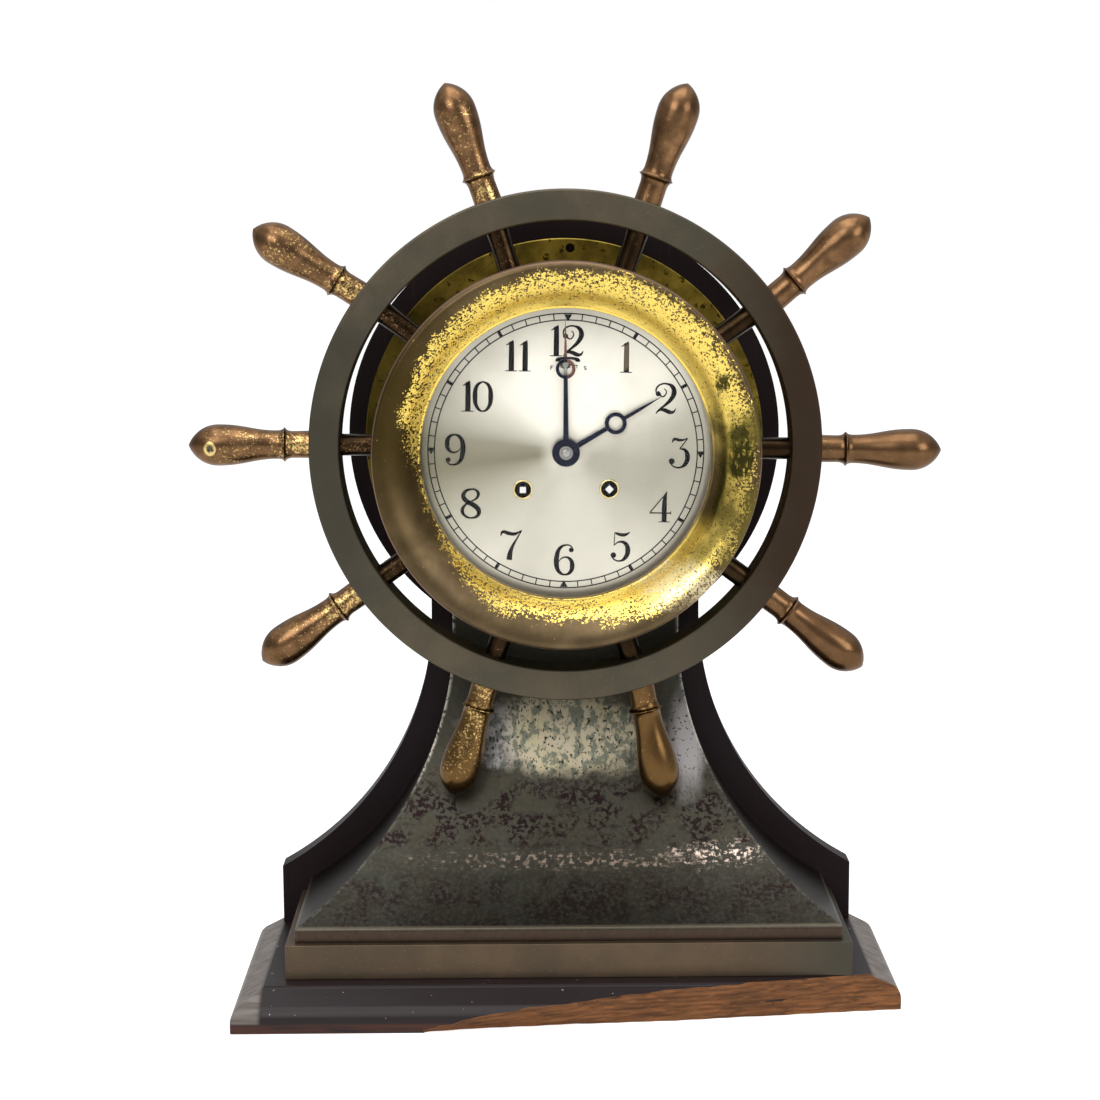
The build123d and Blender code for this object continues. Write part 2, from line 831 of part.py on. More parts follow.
def make_front_plate():
    near = front_plate_depth
    far = near - plate_t
    body = rod(plate_r, near, far)
    for x, z in winding_places():
        body -= rod(winding_arbor_r + pivot_fit_gap, near + over_l, far - over_l, x, z)
    body -= rod(arbor_r + pivot_fit_gap, near + over_l, far - over_l)
    for x, z in (third_place(), strike_place()):
        body -= rod(pivot_r + pivot_fit_gap, near + over_l, far - over_l, x, z)
    for x, z in dial_foot_places():
        body -= rod(dial_foot_r + screw_gap, near + over_l, far - over_l, x, z)
    x, z = minute_place()
    stud_far = near - plate_t / 2
    body += rod(pivot_r, near + 3 * motion_gap + 2 * motion_t, stud_far, x, z)
    body -= rod(staff_r + pivot_fit_gap, near + over_l, far - over_l, 0, index_z)
    return body


def make_back_plate():
    near = back_plate_depth
    far = near - plate_t
    body = rod(plate_r, near, far)
    for x, z in arbors():
        body -= rod(pivot_r + pivot_fit_gap, near + over_l, far - over_l, x, z)
    x, z = hammer_place()
    body += rod(hammer_stud_r, far + plate_t / 2, far - hammer_t - 2 * bell_gap, x, z)
    body -= rod(staff_r + pivot_fit_gap, near + over_l, far - over_l, 0, balance_z)
    return body


def make_pillars():
    far = back_plate_depth
    near = front_plate_depth - plate_t
    return Compound([rod(pillar_r, near, far, x, z) for x, z in pillar_places()])


def make_posts():
    far = flange_t
    near = back_plate_depth - plate_t
    return Compound([rod(post_r, near, far, x, z) for x, z in post_places()])


def great_far(strike):
    return back_plate_depth + great_gap + (strike_gap if strike else 0)


def make_barrel(strike):
    x, z = winding_places()[1 if strike else 0]
    far = great_far(strike)
    near = far + great_t
    angle = strike_angle if strike else math.degrees(math.atan2(winding_z, winding_x))
    body = toothed(great_teeth, great_module, near, far, (x, z), angle)
    body += rod(barrel_r, near + barrel_l, near, x, z)
    return body - rod(winding_arbor_r + pivot_fit_gap, front_plate_depth, 0, x, z)


def make_winding_arbor(strike):
    x, z = winding_places()[1 if strike else 0]
    far = great_far(strike)
    body = rod(winding_arbor_r, winding_depth - winding_square_l, far, x, z)
    body += rod(pivot_r, far + pivot_seat_l, back_plate_depth - plate_t, x, z)
    half = winding_square_w / 2
    square = block(x - half, x + half, depth(winding_depth), depth(front_plate_depth),
                   wheel_z + z - half, wheel_z + z + half)
    if strike:
        square = Pos(x, 0, wheel_z + z) * Rot(0, 45, 0) * Pos(-x, 0, -wheel_z - z) * square
    return body + square


def make_center_wheel():
    near = front_plate_depth - plate_t - motion_gap
    far = near - center_wheel_t
    body = rod(arbor_r, near, back_plate_depth + motion_gap)
    body += rod(arbor_r, front_plate_depth + motion_gap, near - motion_gap)
    body += rod(cannon_bore_r, minute_hand_depth + nut_h / 2, front_plate_depth)
    body += rod(pivot_r, back_plate_depth + pivot_seat_l, back_plate_depth - plate_t)
    body += toothed(center_teeth, center_module, near, far, (0, 0), third_angle)
    mate = math.degrees(math.atan2(-winding_z, -winding_x))
    pinion_far = great_far(False) - motion_gap
    body += toothed(great_pinion_teeth, great_module, pinion_far + great_t + 2 * motion_gap,
                    pinion_far, (0, 0), mate, facing=True)
    return body


def make_third_wheel():
    place = third_place()
    near = front_plate_depth - plate_t
    body = rod(pivot_r, front_plate_depth, back_plate_depth - plate_t, *place)
    body += rod(arbor_r, near - motion_gap, back_plate_depth + motion_gap, *place)
    body += toothed(third_pinion_teeth, center_module, near - motion_gap / 2,
                    near - motion_gap / 2 - pinion_l, place, third_angle + 180, facing=True)
    wheel_near = near - pinion_l - third_wheel_gap
    body += toothed(third_teeth, third_module, wheel_near, wheel_near - center_wheel_t,
                    place, third_angle)
    return body


def cannon_far():
    return front_plate_depth + motion_gap


def make_cannon_pinion():
    far = cannon_far()
    body = rod(cannon_r, minute_hand_depth, far)
    body += toothed(cannon_teeth, motion_module, far + motion_t + motion_gap, far,
                    (0, 0), minute_arbor_angle)
    return body - rod(cannon_bore_r, minute_hand_depth + over_l, far - over_l)


def make_minute_wheel():
    place = minute_place()
    far = cannon_far()
    body = toothed(minute_teeth, motion_module, far + motion_t, far, place,
                   minute_arbor_angle + 180, facing=True)
    near = far + motion_t + motion_gap + motion_t + motion_gap / 2
    body += toothed(minute_pinion_teeth, motion_module, near, far + motion_t, place,
                    minute_arbor_angle + 180)
    return body - rod(pivot_r + pivot_fit_gap, near + over_l, far - over_l, *place)


def make_hour_wheel():
    far = cannon_far() + motion_t + 2 * motion_gap
    body = toothed(hour_teeth, motion_module, far + motion_t, far, (0, 0),
                   minute_arbor_angle, facing=True)
    body += rod(hour_pipe_r, hour_hand_depth, far)
    return body - rod(cannon_r + pipe_fit_gap, minute_hand_depth + over_l, far - over_l)


def make_strike_wheel():
    place = strike_place()
    near = front_plate_depth - plate_t
    far = great_far(True)
    body = rod(pivot_r, front_plate_depth, back_plate_depth - plate_t, *place)
    body += rod(arbor_r, near - motion_gap, back_plate_depth + motion_gap, *place)
    body += toothed(great_pinion_teeth, great_module, far - motion_gap + pinion_l,
                    far - motion_gap, place, strike_angle + 180, facing=True)
    wheel_near = near - motion_gap
    wheel_far = wheel_near - center_wheel_t
    body += toothed(strike_teeth, strike_module, wheel_near, wheel_far, place, strike_angle)
    for n in range(lifting_pin_count):
        x, z = polar(lifting_pin_ring_r, n * 360 / lifting_pin_count)
        body += rod(lifting_pin_r, wheel_far + center_wheel_t / 2, wheel_far - lifting_pin_l,
                    place[0] + x, place[1] + z)
    return body


def make_bell():
    crown = back_plate_depth - plate_t - bell_gap
    mouth = crown - bell_h
    shell = [
        Line(corner(bell_post_r, crown), corner(bell_crown_r, crown)),
        TangentArc(corner(bell_crown_r, crown), corner(bell_r, mouth), tangent=(1, 0)),
        Line(corner(bell_r, mouth), corner(bell_r - bell_t, mouth)),
        TangentArc(corner(bell_crown_r, crown - bell_t), corner(bell_r - bell_t, mouth),
                   tangent=(1, 0)),
        Polyline(corner(bell_crown_r, crown - bell_t), corner(bell_post_r, crown - bell_t),
                 corner(bell_post_r, crown)),
    ]
    return turned(*shell)


def make_bell_post():
    crown = back_plate_depth - plate_t - bell_gap
    body = rod(bell_post_r - screw_gap, back_plate_depth - plate_t, flange_t)
    body += rod(bell_foot_r, crown - bell_t, flange_t)
    return body


def hammer_place():
    return -hammer_x, -(bell_r + hammer_gap + hammer_head_r)


def make_hammer():
    x, z = hammer_place()
    near = back_plate_depth - plate_t - bell_gap
    far = near - hammer_t
    body = rod(hammer_boss_r, near, far, x, z)
    body += block(x, 0, depth(near), depth(far), wheel_z + z - hammer_w / 2,
                  wheel_z + z + hammer_w / 2)
    body += rod(hammer_head_r, near, near - hammer_head_l, 0, z)
    return body - rod(hammer_stud_r + pivot_fit_gap, near + over_l, far - over_l, x, z)


def make_balance():
    ring = tube(balance_r, balance_r - balance_w, balance_depth, balance_depth - balance_t,
                0, balance_z)
    reach = balance_r - balance_w / 2
    arm = block(-reach, reach, depth(balance_depth), depth(balance_depth - balance_t),
                wheel_z + balance_z - balance_arm_w / 2,
                wheel_z + balance_z + balance_arm_w / 2)
    staff = rod(staff_r, cock_depth, back_plate_depth - plate_t, 0, balance_z)
    return ring + arm + staff


def make_cock():
    """The bridge that holds the balance's front pivot, on a foot on the back plate."""
    top = balance_z + cock_l
    near = cock_depth
    arm = block(-cock_w / 2, cock_w / 2, depth(near), depth(near - cock_t),
                wheel_z + balance_z - cock_w / 2, wheel_z + top)
    foot = block(-cock_w / 2, cock_w / 2, depth(near), depth(back_plate_depth),
                 wheel_z + top - cock_foot_w, wheel_z + top)
    return arm + foot - rod(staff_r + pivot_fit_gap, near + over_l, near - cock_t - over_l,
                            0, balance_z)


def make_regulator():
    near = dial_depth + index_arm_t + grommet_proud_h
    body = rod(index_post_r, near, front_plate_depth + motion_gap, 0, index_z)
    body += rod(staff_r, near, front_plate_depth - plate_t, 0, index_z)
    arm = block(-index_arm_w / 2, index_arm_w / 2, depth(near), depth(near - index_arm_t),
                wheel_z + index_z - index_arm_l, wheel_z + index_z)
    return body + arm


# Write one file for each piece

def nodes():
    parts = {
        "plinth": make_plinth(),
        "plinth_screws": make_plinth_screws(),
        "foot_band": make_foot_band(),
        "pedestal": make_pedestal(),
        "backboard": make_backboard(),
        "board_screws": make_board_screws(),
        "wheel_rim": make_rim(),
        "case_drum": make_drum(),
        "flange_screws": make_flange_screws(),
        "bezel": make_bezel(),
        "bezel_hinge_pin": make_hinge_pin(),
        "bezel_catch": make_catch(),
        "crystal": make_crystal(),
        "crystal_retainer": make_retainer(),
        "dial_plate": make_dial(),
        "winding_grommets": make_grommets(),
        "regulator": make_regulator(),
        "minute_hand": make_minute_hand(),
        "hour_hand": make_hour_hand(),
        "hand_nut": make_nut(),
        "front_plate": make_front_plate(),
        "back_plate": make_back_plate(),
        "plate_pillars": make_pillars(),
        "movement_posts": make_posts(),
        "time_barrel": make_barrel(False),
        "strike_barrel": make_barrel(True),
        "time_arbor": make_winding_arbor(False),
        "strike_arbor": make_winding_arbor(True),
        "center_wheel": make_center_wheel(),
        "third_wheel": make_third_wheel(),
        "cannon_pinion": make_cannon_pinion(),
        "minute_wheel": make_minute_wheel(),
        "hour_wheel": make_hour_wheel(),
        "strike_wheel": make_strike_wheel(),
        "bell": make_bell(),
        "bell_post": make_bell_post(),
        "hammer": make_hammer(),
        "balance_wheel": make_balance(),
        "balance_cock": make_cock(),
    }
    for n in range(spoke_count):
        parts["spoke_%02d" % (n + 1)] = make_spoke(n)
        parts["handle_%02d" % (n + 1)] = make_handle(n)
    return parts


os.makedirs("parts", exist_ok=True)
for name, shape in nodes().items():
    export_step(shape, "parts/%s.step" % name)
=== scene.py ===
import json
import math

import bpy
from bpy.props import FloatProperty, FloatVectorProperty, IntProperty, PointerProperty
from mathutils import Matrix, Vector


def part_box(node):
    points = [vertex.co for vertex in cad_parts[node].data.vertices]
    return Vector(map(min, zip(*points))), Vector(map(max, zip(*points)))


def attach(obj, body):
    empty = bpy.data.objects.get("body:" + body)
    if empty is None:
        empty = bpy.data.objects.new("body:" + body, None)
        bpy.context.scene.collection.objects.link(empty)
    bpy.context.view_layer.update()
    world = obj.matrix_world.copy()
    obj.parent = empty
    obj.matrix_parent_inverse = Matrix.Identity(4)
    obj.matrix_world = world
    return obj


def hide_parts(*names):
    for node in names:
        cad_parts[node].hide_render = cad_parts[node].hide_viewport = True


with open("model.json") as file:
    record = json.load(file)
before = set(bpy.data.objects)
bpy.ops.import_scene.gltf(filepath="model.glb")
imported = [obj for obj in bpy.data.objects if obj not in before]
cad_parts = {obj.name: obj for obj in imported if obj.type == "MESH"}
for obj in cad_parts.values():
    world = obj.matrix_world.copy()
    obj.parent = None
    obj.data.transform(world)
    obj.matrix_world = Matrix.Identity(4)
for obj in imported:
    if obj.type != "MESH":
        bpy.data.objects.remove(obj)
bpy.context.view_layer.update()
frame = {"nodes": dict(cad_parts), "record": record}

bl_info = {
    "name": "Ship Wheel Clock",
    "version": (1, 0, 0),
    "blender": (4, 5, 0),
    "location": "View3D > Sidebar > Ship Wheel Clock",
    "description": "Dresses the packed ship wheel clock with smooth forms and aged finishes",
    "category": "Add Mesh",
}

# The frame's fixed places, in metres: the board's front face and the wheel's centre
BOARD_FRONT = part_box("backboard")[0][1]
RIM_LOW, RIM_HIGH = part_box("wheel_rim")
WHEEL_Z = (RIM_LOW[2] + RIM_HIGH[2]) / 2
WHEEL_Y = (RIM_LOW[1] + RIM_HIGH[1]) / 2
MM = 0.001
STAND = "stand"
DOOR = "bezel_door"
# The drum's and the flange's radius, the flange's thickness and the slack about them, in mm
DRUM, FLANGE, FLANGE_THICK, SLACK = 93, 109.7, 3.2, 0.2
# The winding squares' places beside and below the hands, and the pedestal's curve, in mm
WINDING_X, WINDING_Z = 22.8, -19.9
PEDESTAL_FLARE, PEDESTAL_NECK, PEDESTAL_STEP = 165.6, 62.65, 7.2


# Sizes and colours

def length(name, description, default):
    return FloatProperty(name=name, description=description, default=default, unit="LENGTH")


def angle(name, description, default):
    return FloatProperty(name=name, description=description, default=default, subtype="ANGLE")


def colour(name, description, default):
    return FloatVectorProperty(name=name, description=description, default=default,
            subtype="COLOR", size=3)


class ClockSizes(bpy.types.PropertyGroup):
    """Sizes of the clock's pieces."""
    plinth_edge: length("Plinth edge", "Rounding of the plinth's edges", 0.0006)
    ovolo: length("Ovolo", "Width of the plinth's quarter round", 0.0161)
    ovolo_edge: length("Ovolo edge", "Upright edge under the ovolo", 0.0058)
    board_edge: length("Board edge", "Rounding of the board's edges", 0.0012)
    metal_edge: length("Metal edge", "Rounding of the cast edges", 0.0005)
    rim_edge: length("Rim edge", "Rounding of the wheel's rim", 0.0011)
    rim_width: length("Rim width", "Width of the rim's flat face", 0.0165)
    spoke_radius: length("Spoke radius", "Radius of a spoke", 0.0059)
    grip_radius: length("Grip radius", "Radius of a handle's belly", 0.0111)
    wheel_turn: angle("Wheel turn", "How far the spokes sit askew", math.radians(0.85))
    dial_turn: angle("Dial turn", "How far the dial sits askew", math.radians(1.2))
    stroke_share: FloatProperty(name="Stroke share", description="Weight of the numerals",
            default=1.0, min=0.5, max=2.0)
    track_radius: length("Track radius", "Outer line of the minutes", 0.0729)
    ring_segments: IntProperty(name="Ring segments", description="Steps round a large ring",
            default=256, min=24)


class ClockColours(bpy.types.PropertyGroup):
    """Colours of the clock's finishes."""
    rim: colour("Rim", "Patina of the wheel's rim", (0.105, 0.092, 0.064))
    pedestal: colour("Pedestal", "Patina of the pedestal", (0.048, 0.043, 0.029))
    band: colour("Foot band", "Patina of the foot band", (0.118, 0.086, 0.056))
    bright_brass: colour("Bright brass", "Brass worn bright", (1.0, 0.74, 0.17))
    brown_brass: colour("Brown brass", "Brass turned brown", (0.15, 0.105, 0.056))
    olive_brass: colour("Olive brass", "Brass turned olive", (0.2, 0.145, 0.025))
    silver: colour("Silver", "Silvered dial", (0.92, 0.885, 0.78))
    # dull silver: the dial's painted shade between the lobes of its sheen, and its darker age
    # clouds
    painted_shade_and_age_silver: colour("Dull silver", "Silver across the brushing", (0.2, 0.186, 0.127))
    ink: colour("Ink", "Wax in the dial's engraving", (0.006, 0.006, 0.007))
    blued: colour("Blued steel", "Blue of the hands", (0.010, 0.012, 0.028))
    dark_wood: colour("Dark wood", "Stained wood", (0.014, 0.008, 0.009))
    raw_wood: colour("Raw wood", "Wood bared by the break", (0.215, 0.085, 0.027))


def sizes():
    return bpy.context.scene.clock_sizes


def colours():
    return bpy.context.scene.clock_colours


# Modelling helpers

def clear_selection():
    if bpy.context.mode != "OBJECT":
        bpy.ops.object.mode_set(mode="OBJECT")
    bpy.ops.object.select_all(action="DESELECT")


def only(piece):
    """Leaves one piece selected and active."""
    clear_selection()
    piece.select_set(True)
    bpy.context.view_layer.objects.active = piece


def outwards(piece):
    """Turns a piece's normals outwards."""
    only(piece)
    bpy.ops.object.mode_set(mode="EDIT")
    bpy.ops.mesh.select_all(action="SELECT")
    bpy.ops.mesh.normals_make_consistent(inside=False)
    bpy.ops.object.mode_set(mode="OBJECT")
    return piece


def edit_all():
    bpy.ops.object.mode_set(mode="EDIT")
    bpy.ops.mesh.select_mode(type="EDGE")
    bpy.ops.mesh.select_all(action="SELECT")


def close_up(threshold):
    bpy.ops.mesh.select_all(action="SELECT")
    bpy.ops.mesh.remove_doubles(threshold=threshold)
    bpy.ops.mesh.normals_make_consistent(inside=False)
    bpy.ops.object.mode_set(mode="OBJECT")
    return bpy.context.active_object


def turn(profile, count):
    """A solid turned about Z from (radius, height) points, extruded ring by ring."""
    tiny = 0.00001
    radius, height = max(profile[0][0], tiny), profile[0][1]
    clear_selection()
    bpy.ops.mesh.primitive_circle_add(vertices=count, radius=radius, location=(0, 0, height))
    edit_all()
    for next_radius, next_height in profile[1:]:
        next_radius = max(next_radius, tiny)
        step = {"value": (0, 0, next_height - height)}
        bpy.ops.mesh.extrude_region_move(TRANSFORM_OT_translate=step)
        share = next_radius / radius
        bpy.ops.transform.resize(value=(share, share, 1), center_override=(0, 0, next_height))
        radius, height = next_radius, next_height
    return close_up(2.5 * tiny)


def rod(radius, low, high, count):
    """A plain cylinder about Z."""
    return turn([(0, low), (radius, low), (radius, high), (0, high)], count)


def stack(stations, back):
    """Rectangles one above the other that share their back: (half width, front, height)."""
    half, front, height = stations[0]
    clear_selection()
    bpy.ops.mesh.primitive_plane_add(size=1, location=(0, (front + back) / 2, height))
    bpy.context.active_object.scale = (2 * half, back - front, 1)
    bpy.ops.object.transform_apply(location=True, rotation=True, scale=True)
    edit_all()
    bpy.ops.mesh.delete(type="ONLY_FACE")
    bpy.ops.mesh.select_all(action="SELECT")
    for next_half, next_front, next_height in stations[1:]:
        step = {"value": (0, 0, next_height - height)}
        bpy.ops.mesh.extrude_region_move(TRANSFORM_OT_translate=step)
        share = (next_half / half, (back - next_front) / (back - front), 1)
        bpy.ops.transform.resize(value=share, center_override=(0, back, next_height))
        half, front, height = next_half, next_front, next_height
    bpy.ops.mesh.select_all(action="SELECT")
    bpy.ops.mesh.fill_holes(sides=4)
    return close_up(0.00001)


def flare_top(foot, foot_z, neck, flare):
    """Height at which a concave flare that starts at the foot reaches the neck."""
    return foot_z + math.sqrt(flare ** 2 - (neck + flare - foot) ** 2)


def flare_points(foot, foot_z, neck, flare, count):
    """The flare's (half width, height) points from the foot up, without its first one."""
    top = flare_top(foot, foot_z, neck, flare)
    start = math.asin((top - foot_z) / flare)
    angles = [start * (1 - n / count) for n in range(1, count + 1)]
    return [(neck + flare - flare * math.cos(a), top - flare * math.sin(a)) for a in angles]


def settle(piece, matrix):
    """Puts a piece in its place and leaves the place in its mesh."""
    only(piece)
    piece.matrix_world = matrix @ piece.matrix_world
    bpy.context.view_layer.update()
    bpy.ops.object.transform_apply(location=True, rotation=True, scale=True)
    return piece


def facing(height=0.0, turned=0.0):
    """Frame of the dial: X to the right, Y up, Z towards the viewer from the board."""
    return (Matrix.Translation((0, BOARD_FRONT, WHEEL_Z)) @ Matrix.Rotation(math.pi / 2, 4, "X")
            @ Matrix.Rotation(-turned, 4, "Z") @ Matrix.Translation((0, 0, height)))


def along_spoke(n, pivot=0.0, lean=0.0):
    """Frame of one spoke: Z runs out from the wheel's centre, and leans beyond the pivot."""
    angle = math.pi / 2 - n * 2 * math.pi / 10 + sizes().wheel_turn
    return (Matrix.Translation((0, WHEEL_Y, WHEEL_Z)) @ Matrix.Rotation(angle, 4, "Y")
            @ Matrix.Translation((0, 0, pivot)) @ Matrix.Rotation(lean, 4, "Y")
            @ Matrix.Translation((0, 0, -pivot)))


def apply_modifier(piece, kind, **values):
    only(piece)
    modifier = piece.modifiers.new(kind.title(), kind)
    for key, value in values.items():
        setattr(modifier, key, value)
    bpy.ops.object.modifier_apply(modifier=modifier.name)


def soften(piece, width, segments=3, angle=math.radians(40)):
    apply_modifier(piece, "BEVEL", width=width, segments=segments, limit_method="ANGLE",
            angle_limit=angle)


def smooth(piece, angle=math.radians(35)):
    only(piece)
    bpy.ops.object.shade_smooth_by_angle(angle=angle)
    apply_modifier(piece, "WEIGHTED_NORMAL", keep_sharp=True)


def cut(piece, cutter):
    apply_modifier(piece, "BOOLEAN", object=cutter, operation="DIFFERENCE", solver="EXACT")
    bpy.data.objects.remove(cutter, do_unlink=True)


def hand_over(piece, name, body, slot, material, *nodes):
    """Names a finished piece, gives it its finish and joins it to the frame."""
    piece.name = name
    piece.data.name = name
    piece.data.materials.clear()
    piece.data.materials.append(material)
    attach(piece, body)
    if nodes:
        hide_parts(*nodes)
    return piece


def copy_of(piece):
    """A copy with a mesh of its own."""
    only(piece)
    bpy.ops.object.duplicate(linked=False)
    return bpy.context.active_object


def bezier(a, b, c, d, count):
    """Points on a cubic curve, without its first one."""
    points = []
    for n in range(1, count + 1):
        t = n / count
        s = 1 - t
        points.append(tuple(s ** 3 * a[i] + 3 * s * s * t * b[i] + 3 * s * t * t * c[i] + t ** 3
                * d[i] for i in (0, 1)))
    return points


def arc(centre, radius, start, end, count):
    """Points on an arc, both ends included."""
    return [(centre[0] + radius * math.cos(start + (end - start) * n / count),
            centre[1] + radius * math.sin(start + (end - start) * n / count))
            for n in range(count + 1)]


# Materials

def shaded(tint, level):
    """A colour made darker, or lighter up to 1."""
    return tuple(min(1, c * level) for c in tint)


class Nodes:
    """Lays nodes in the tree of a material, a group or the world."""

    def __init__(self, tree):
        self.nodes = tree.nodes
        self.links = tree.links

    def set(self, node, socket, value):
        if hasattr(value, "is_linked"):
            self.links.new(value, node.inputs[socket])
        else:
            node.inputs[socket].default_value = value

    def add(self, kind, inputs=None, **settings):
        node = self.nodes.new("ShaderNode" + kind)
        for key, value in settings.items():
            setattr(node, key, value)
        for key, value in (inputs or {}).items():
            self.set(node, key, value)
        return node

    def place(self, centre=(0, 0, 0), scale=(1, 1, 1)):
        """Object coordinates about a centre."""
        coords = self.add("TexCoord").outputs["Object"]
        moved = self.add("VectorMath", {0: coords, 1: centre}, operation="SUBTRACT")
        scaled = self.add("VectorMath", {0: moved.outputs[0], 1: scale}, operation="MULTIPLY")
        return scaled.outputs[0]

    def noise(self, vector, scale, detail=4.0, roughness=0.55, distortion=0.0):
        return self.add("TexNoise", {"Vector": vector, "Scale": scale, "Detail": detail,
                "Roughness": roughness, "Distortion": distortion}).outputs["Fac"]

    def xyz(self, vector):
        return self.add("SeparateXYZ", {0: vector}).outputs

    def length(self, vector):
        return self.add("VectorMath", {0: vector}, operation="LENGTH").outputs["Value"]

    def round_dial(self):
        """Place about the wheel's centre: vectors, reach and share of a turn from twelve."""
        vector = self.place((0, 0, WHEEL_Z))
        x, _, z = self.xyz(vector)
        flat = self.add("CombineXYZ", {0: x, 2: z}).outputs[0]
        reach = self.length(flat)
        turned = self.maths("MULTIPLY_ADD", self.maths("ARCTAN2", x, z), 0.5 / math.pi, 1.0)
        return vector, flat, reach, self.maths("FRACT", turned)

    def curve(self, value, stops):
        """A number that follows (place, level) stops, all between 0 and 1."""
        node = self.add("ValToRGB", {"Fac": value})
        elements = node.color_ramp.elements
        elements.remove(elements[1])
        elements[0].position = stops[0][0]
        for place, _ in stops[1:]:
            elements.new(place)
        for element, (_, level) in zip(elements, stops):
            element.color = (level, level, level, 1)
        return node.outputs["Color"]

    def ramp(self, value, low, high):
        """0 below low, 1 above high, and smooth between them."""
        return self.add("MapRange", {"Value": value, "From Min": low, "From Max": high},
                interpolation_type="SMOOTHSTEP").outputs["Result"]

    def maths(self, operation, a, b=0.0, c=0.0):
        node = self.add("Math", {0: a, 1: b, 2: c}, operation=operation)
        node.use_clamp = operation in {"MULTIPLY", "MAXIMUM", "MINIMUM"}
        return node.outputs[0]

    def times(self, a, b):
        return self.maths("MULTIPLY", a, b)

    def plus(self, a, b):
        return self.maths("ADD", a, b)

    def minus(self, a, b):
        return self.maths("SUBTRACT", a, b)

    def scaled(self, value, factor, shift=0.0):
        """A number times a factor plus a shift, not held between 0 and 1."""
        return self.maths("MULTIPLY_ADD", value, factor, shift)

    def mix(self, share, a, b):
        a = a if hasattr(a, "is_linked") else (*a, 1)
        b = b if hasattr(b, "is_linked") else (*b, 1)
        node = self.add("Mix", {0: share, 6: a, 7: b}, data_type="RGBA")
        return node.outputs[2]

    def between(self, share, a, b):
        """A plain number between a and b."""
        return self.add("MapRange", {"Value": share, "To Min": a, "To Max": b}).outputs["Result"]

    def group(self, tree, inputs):
        return self.add("Group", inputs, node_tree=tree).outputs[0]


class Finish(Nodes):
    """A material and the nodes being laid in it."""

    def __init__(self, name, colour=(0.5, 0.5, 0.5), metallic=0.0, roughness=0.5, **more):
        self.material = bpy.data.materials.new(name)
        self.material.use_nodes = True
        super().__init__(self.material.node_tree)
        self.shader = self.nodes["Principled BSDF"]
        self.set(self.shader, "Base Color", (*colour, 1))
        self.set(self.shader, "Metallic", metallic)
        self.set(self.shader, "Roughness", roughness)
        for key, value in more.items():
            self.set(self.shader, key.replace("_", " ").title().replace("Ior", "IOR"), value)

    def finish(self, colour=None, roughness=None, metallic=None, height=None, strength=0.2,
            distance=0.0003):
        for socket, value in (("Base Color", colour), ("Roughness", roughness),
                ("Metallic", metallic)):
            if value is not None:
                self.set(self.shader, socket, value)
        if height is not None:
            bump = self.add("Bump", {"Height": height, "Strength": strength, "Distance": distance})
            self.set(self.shader, "Normal", bump.outputs["Normal"])
        return self.material


def new_group(name, inputs):
    """A shader node group with one vector input, float inputs and one output."""
    tree = bpy.data.node_groups.new(name, "ShaderNodeTree")
    tree.interface.new_socket(name="Vector", in_out="INPUT", socket_type="NodeSocketVector")
    for key, value in inputs.items():
        socket = tree.interface.new_socket(name=key, in_out="INPUT", socket_type="NodeSocketFloat")
        socket.default_value = value
    tree.interface.new_socket(name="Mask", in_out="OUTPUT", socket_type="NodeSocketFloat")
    return tree, Nodes(tree), tree.nodes.new("NodeGroupInput").outputs


def close_group(tree, value):
    tree.links.new(value, tree.nodes.new("NodeGroupOutput").inputs[0])
    return tree


def speckle_group():
    """Fine grains where a spreading stain breaks up: Cover 0 is none, 1 is all."""
    tree, f, given = new_group("Speckle", {"Scale": 900.0, "Cover": 0.5, "Hardness": 0.12})
    grain = f.noise(given["Vector"], given["Scale"], 3.0, 0.6)
    cells = f.add("TexVoronoi", {"Vector": given["Vector"],
            "Scale": f.scaled(given["Scale"], 0.8)})
    chance = f.add("SeparateColor", {0: cells.outputs["Color"]}).outputs[0]
    both = f.plus(grain, f.between(chance, -0.22, 0.22))
    gap = f.minus(both, f.between(given["Cover"], 0.88, 0.12))
    hard = f.add("MapRange", {"Value": gap, "From Min": 0.0, "From Max": given["Hardness"]})
    return close_group(tree, hard.outputs[0])


def patch_group():
    """A ragged patch of a given half size about the vector's origin, used for stains, wear and
    painted highlights.
    """
    tree, f, given = new_group("Patch", {"Ragged": 0.5, "Scale": 60.0, "Edge": 0.4})
    rough = f.noise(given["Vector"], given["Scale"], 5.0, 0.62)
    swing = f.scaled(f.minus(rough, 0.5), given["Ragged"])
    left = f.minus(f.scaled(swing, 4.0, 1.0), f.length(given["Vector"]))
    return close_group(tree, f.ramp(left, 0.0, given["Edge"]))


def grain_group():
    """Wood grain along X: long fibres, with pores between them."""
    tree, f, given = new_group("Grain", {"Fibre": 120.0, "Wander": 0.6})
    wide = f.add("VectorMath", {0: given["Vector"], 1: (0.06, 1.0, 1.0)}, operation="MULTIPLY")
    fibre = f.noise(wide.outputs[0], given["Fibre"], 6.0, 0.65, given["Wander"])
    return close_group(tree, fibre)


GROUPS = {}


def groups():
    if not GROUPS:
        GROUPS.update(speckle=speckle_group(), patch=patch_group(), grain=grain_group())
    return GROUPS


def speckle(f, vector, scale, cover, hardness=0.12):
    return f.group(groups()["speckle"], {"Vector": vector, "Scale": scale, "Cover": cover,
            "Hardness": hardness})


def patch(f, centre, half, ragged=0.4, scale=2.0, edge=0.5):
    """A ragged patch for stains, wear and painted highlights, centred in metres, with its half size
    in metres.
    """
    vector = f.place(centre, tuple(1 / h for h in half))
    return f.group(groups()["patch"], {"Vector": vector, "Ragged": ragged, "Scale": scale,
            "Edge": edge})


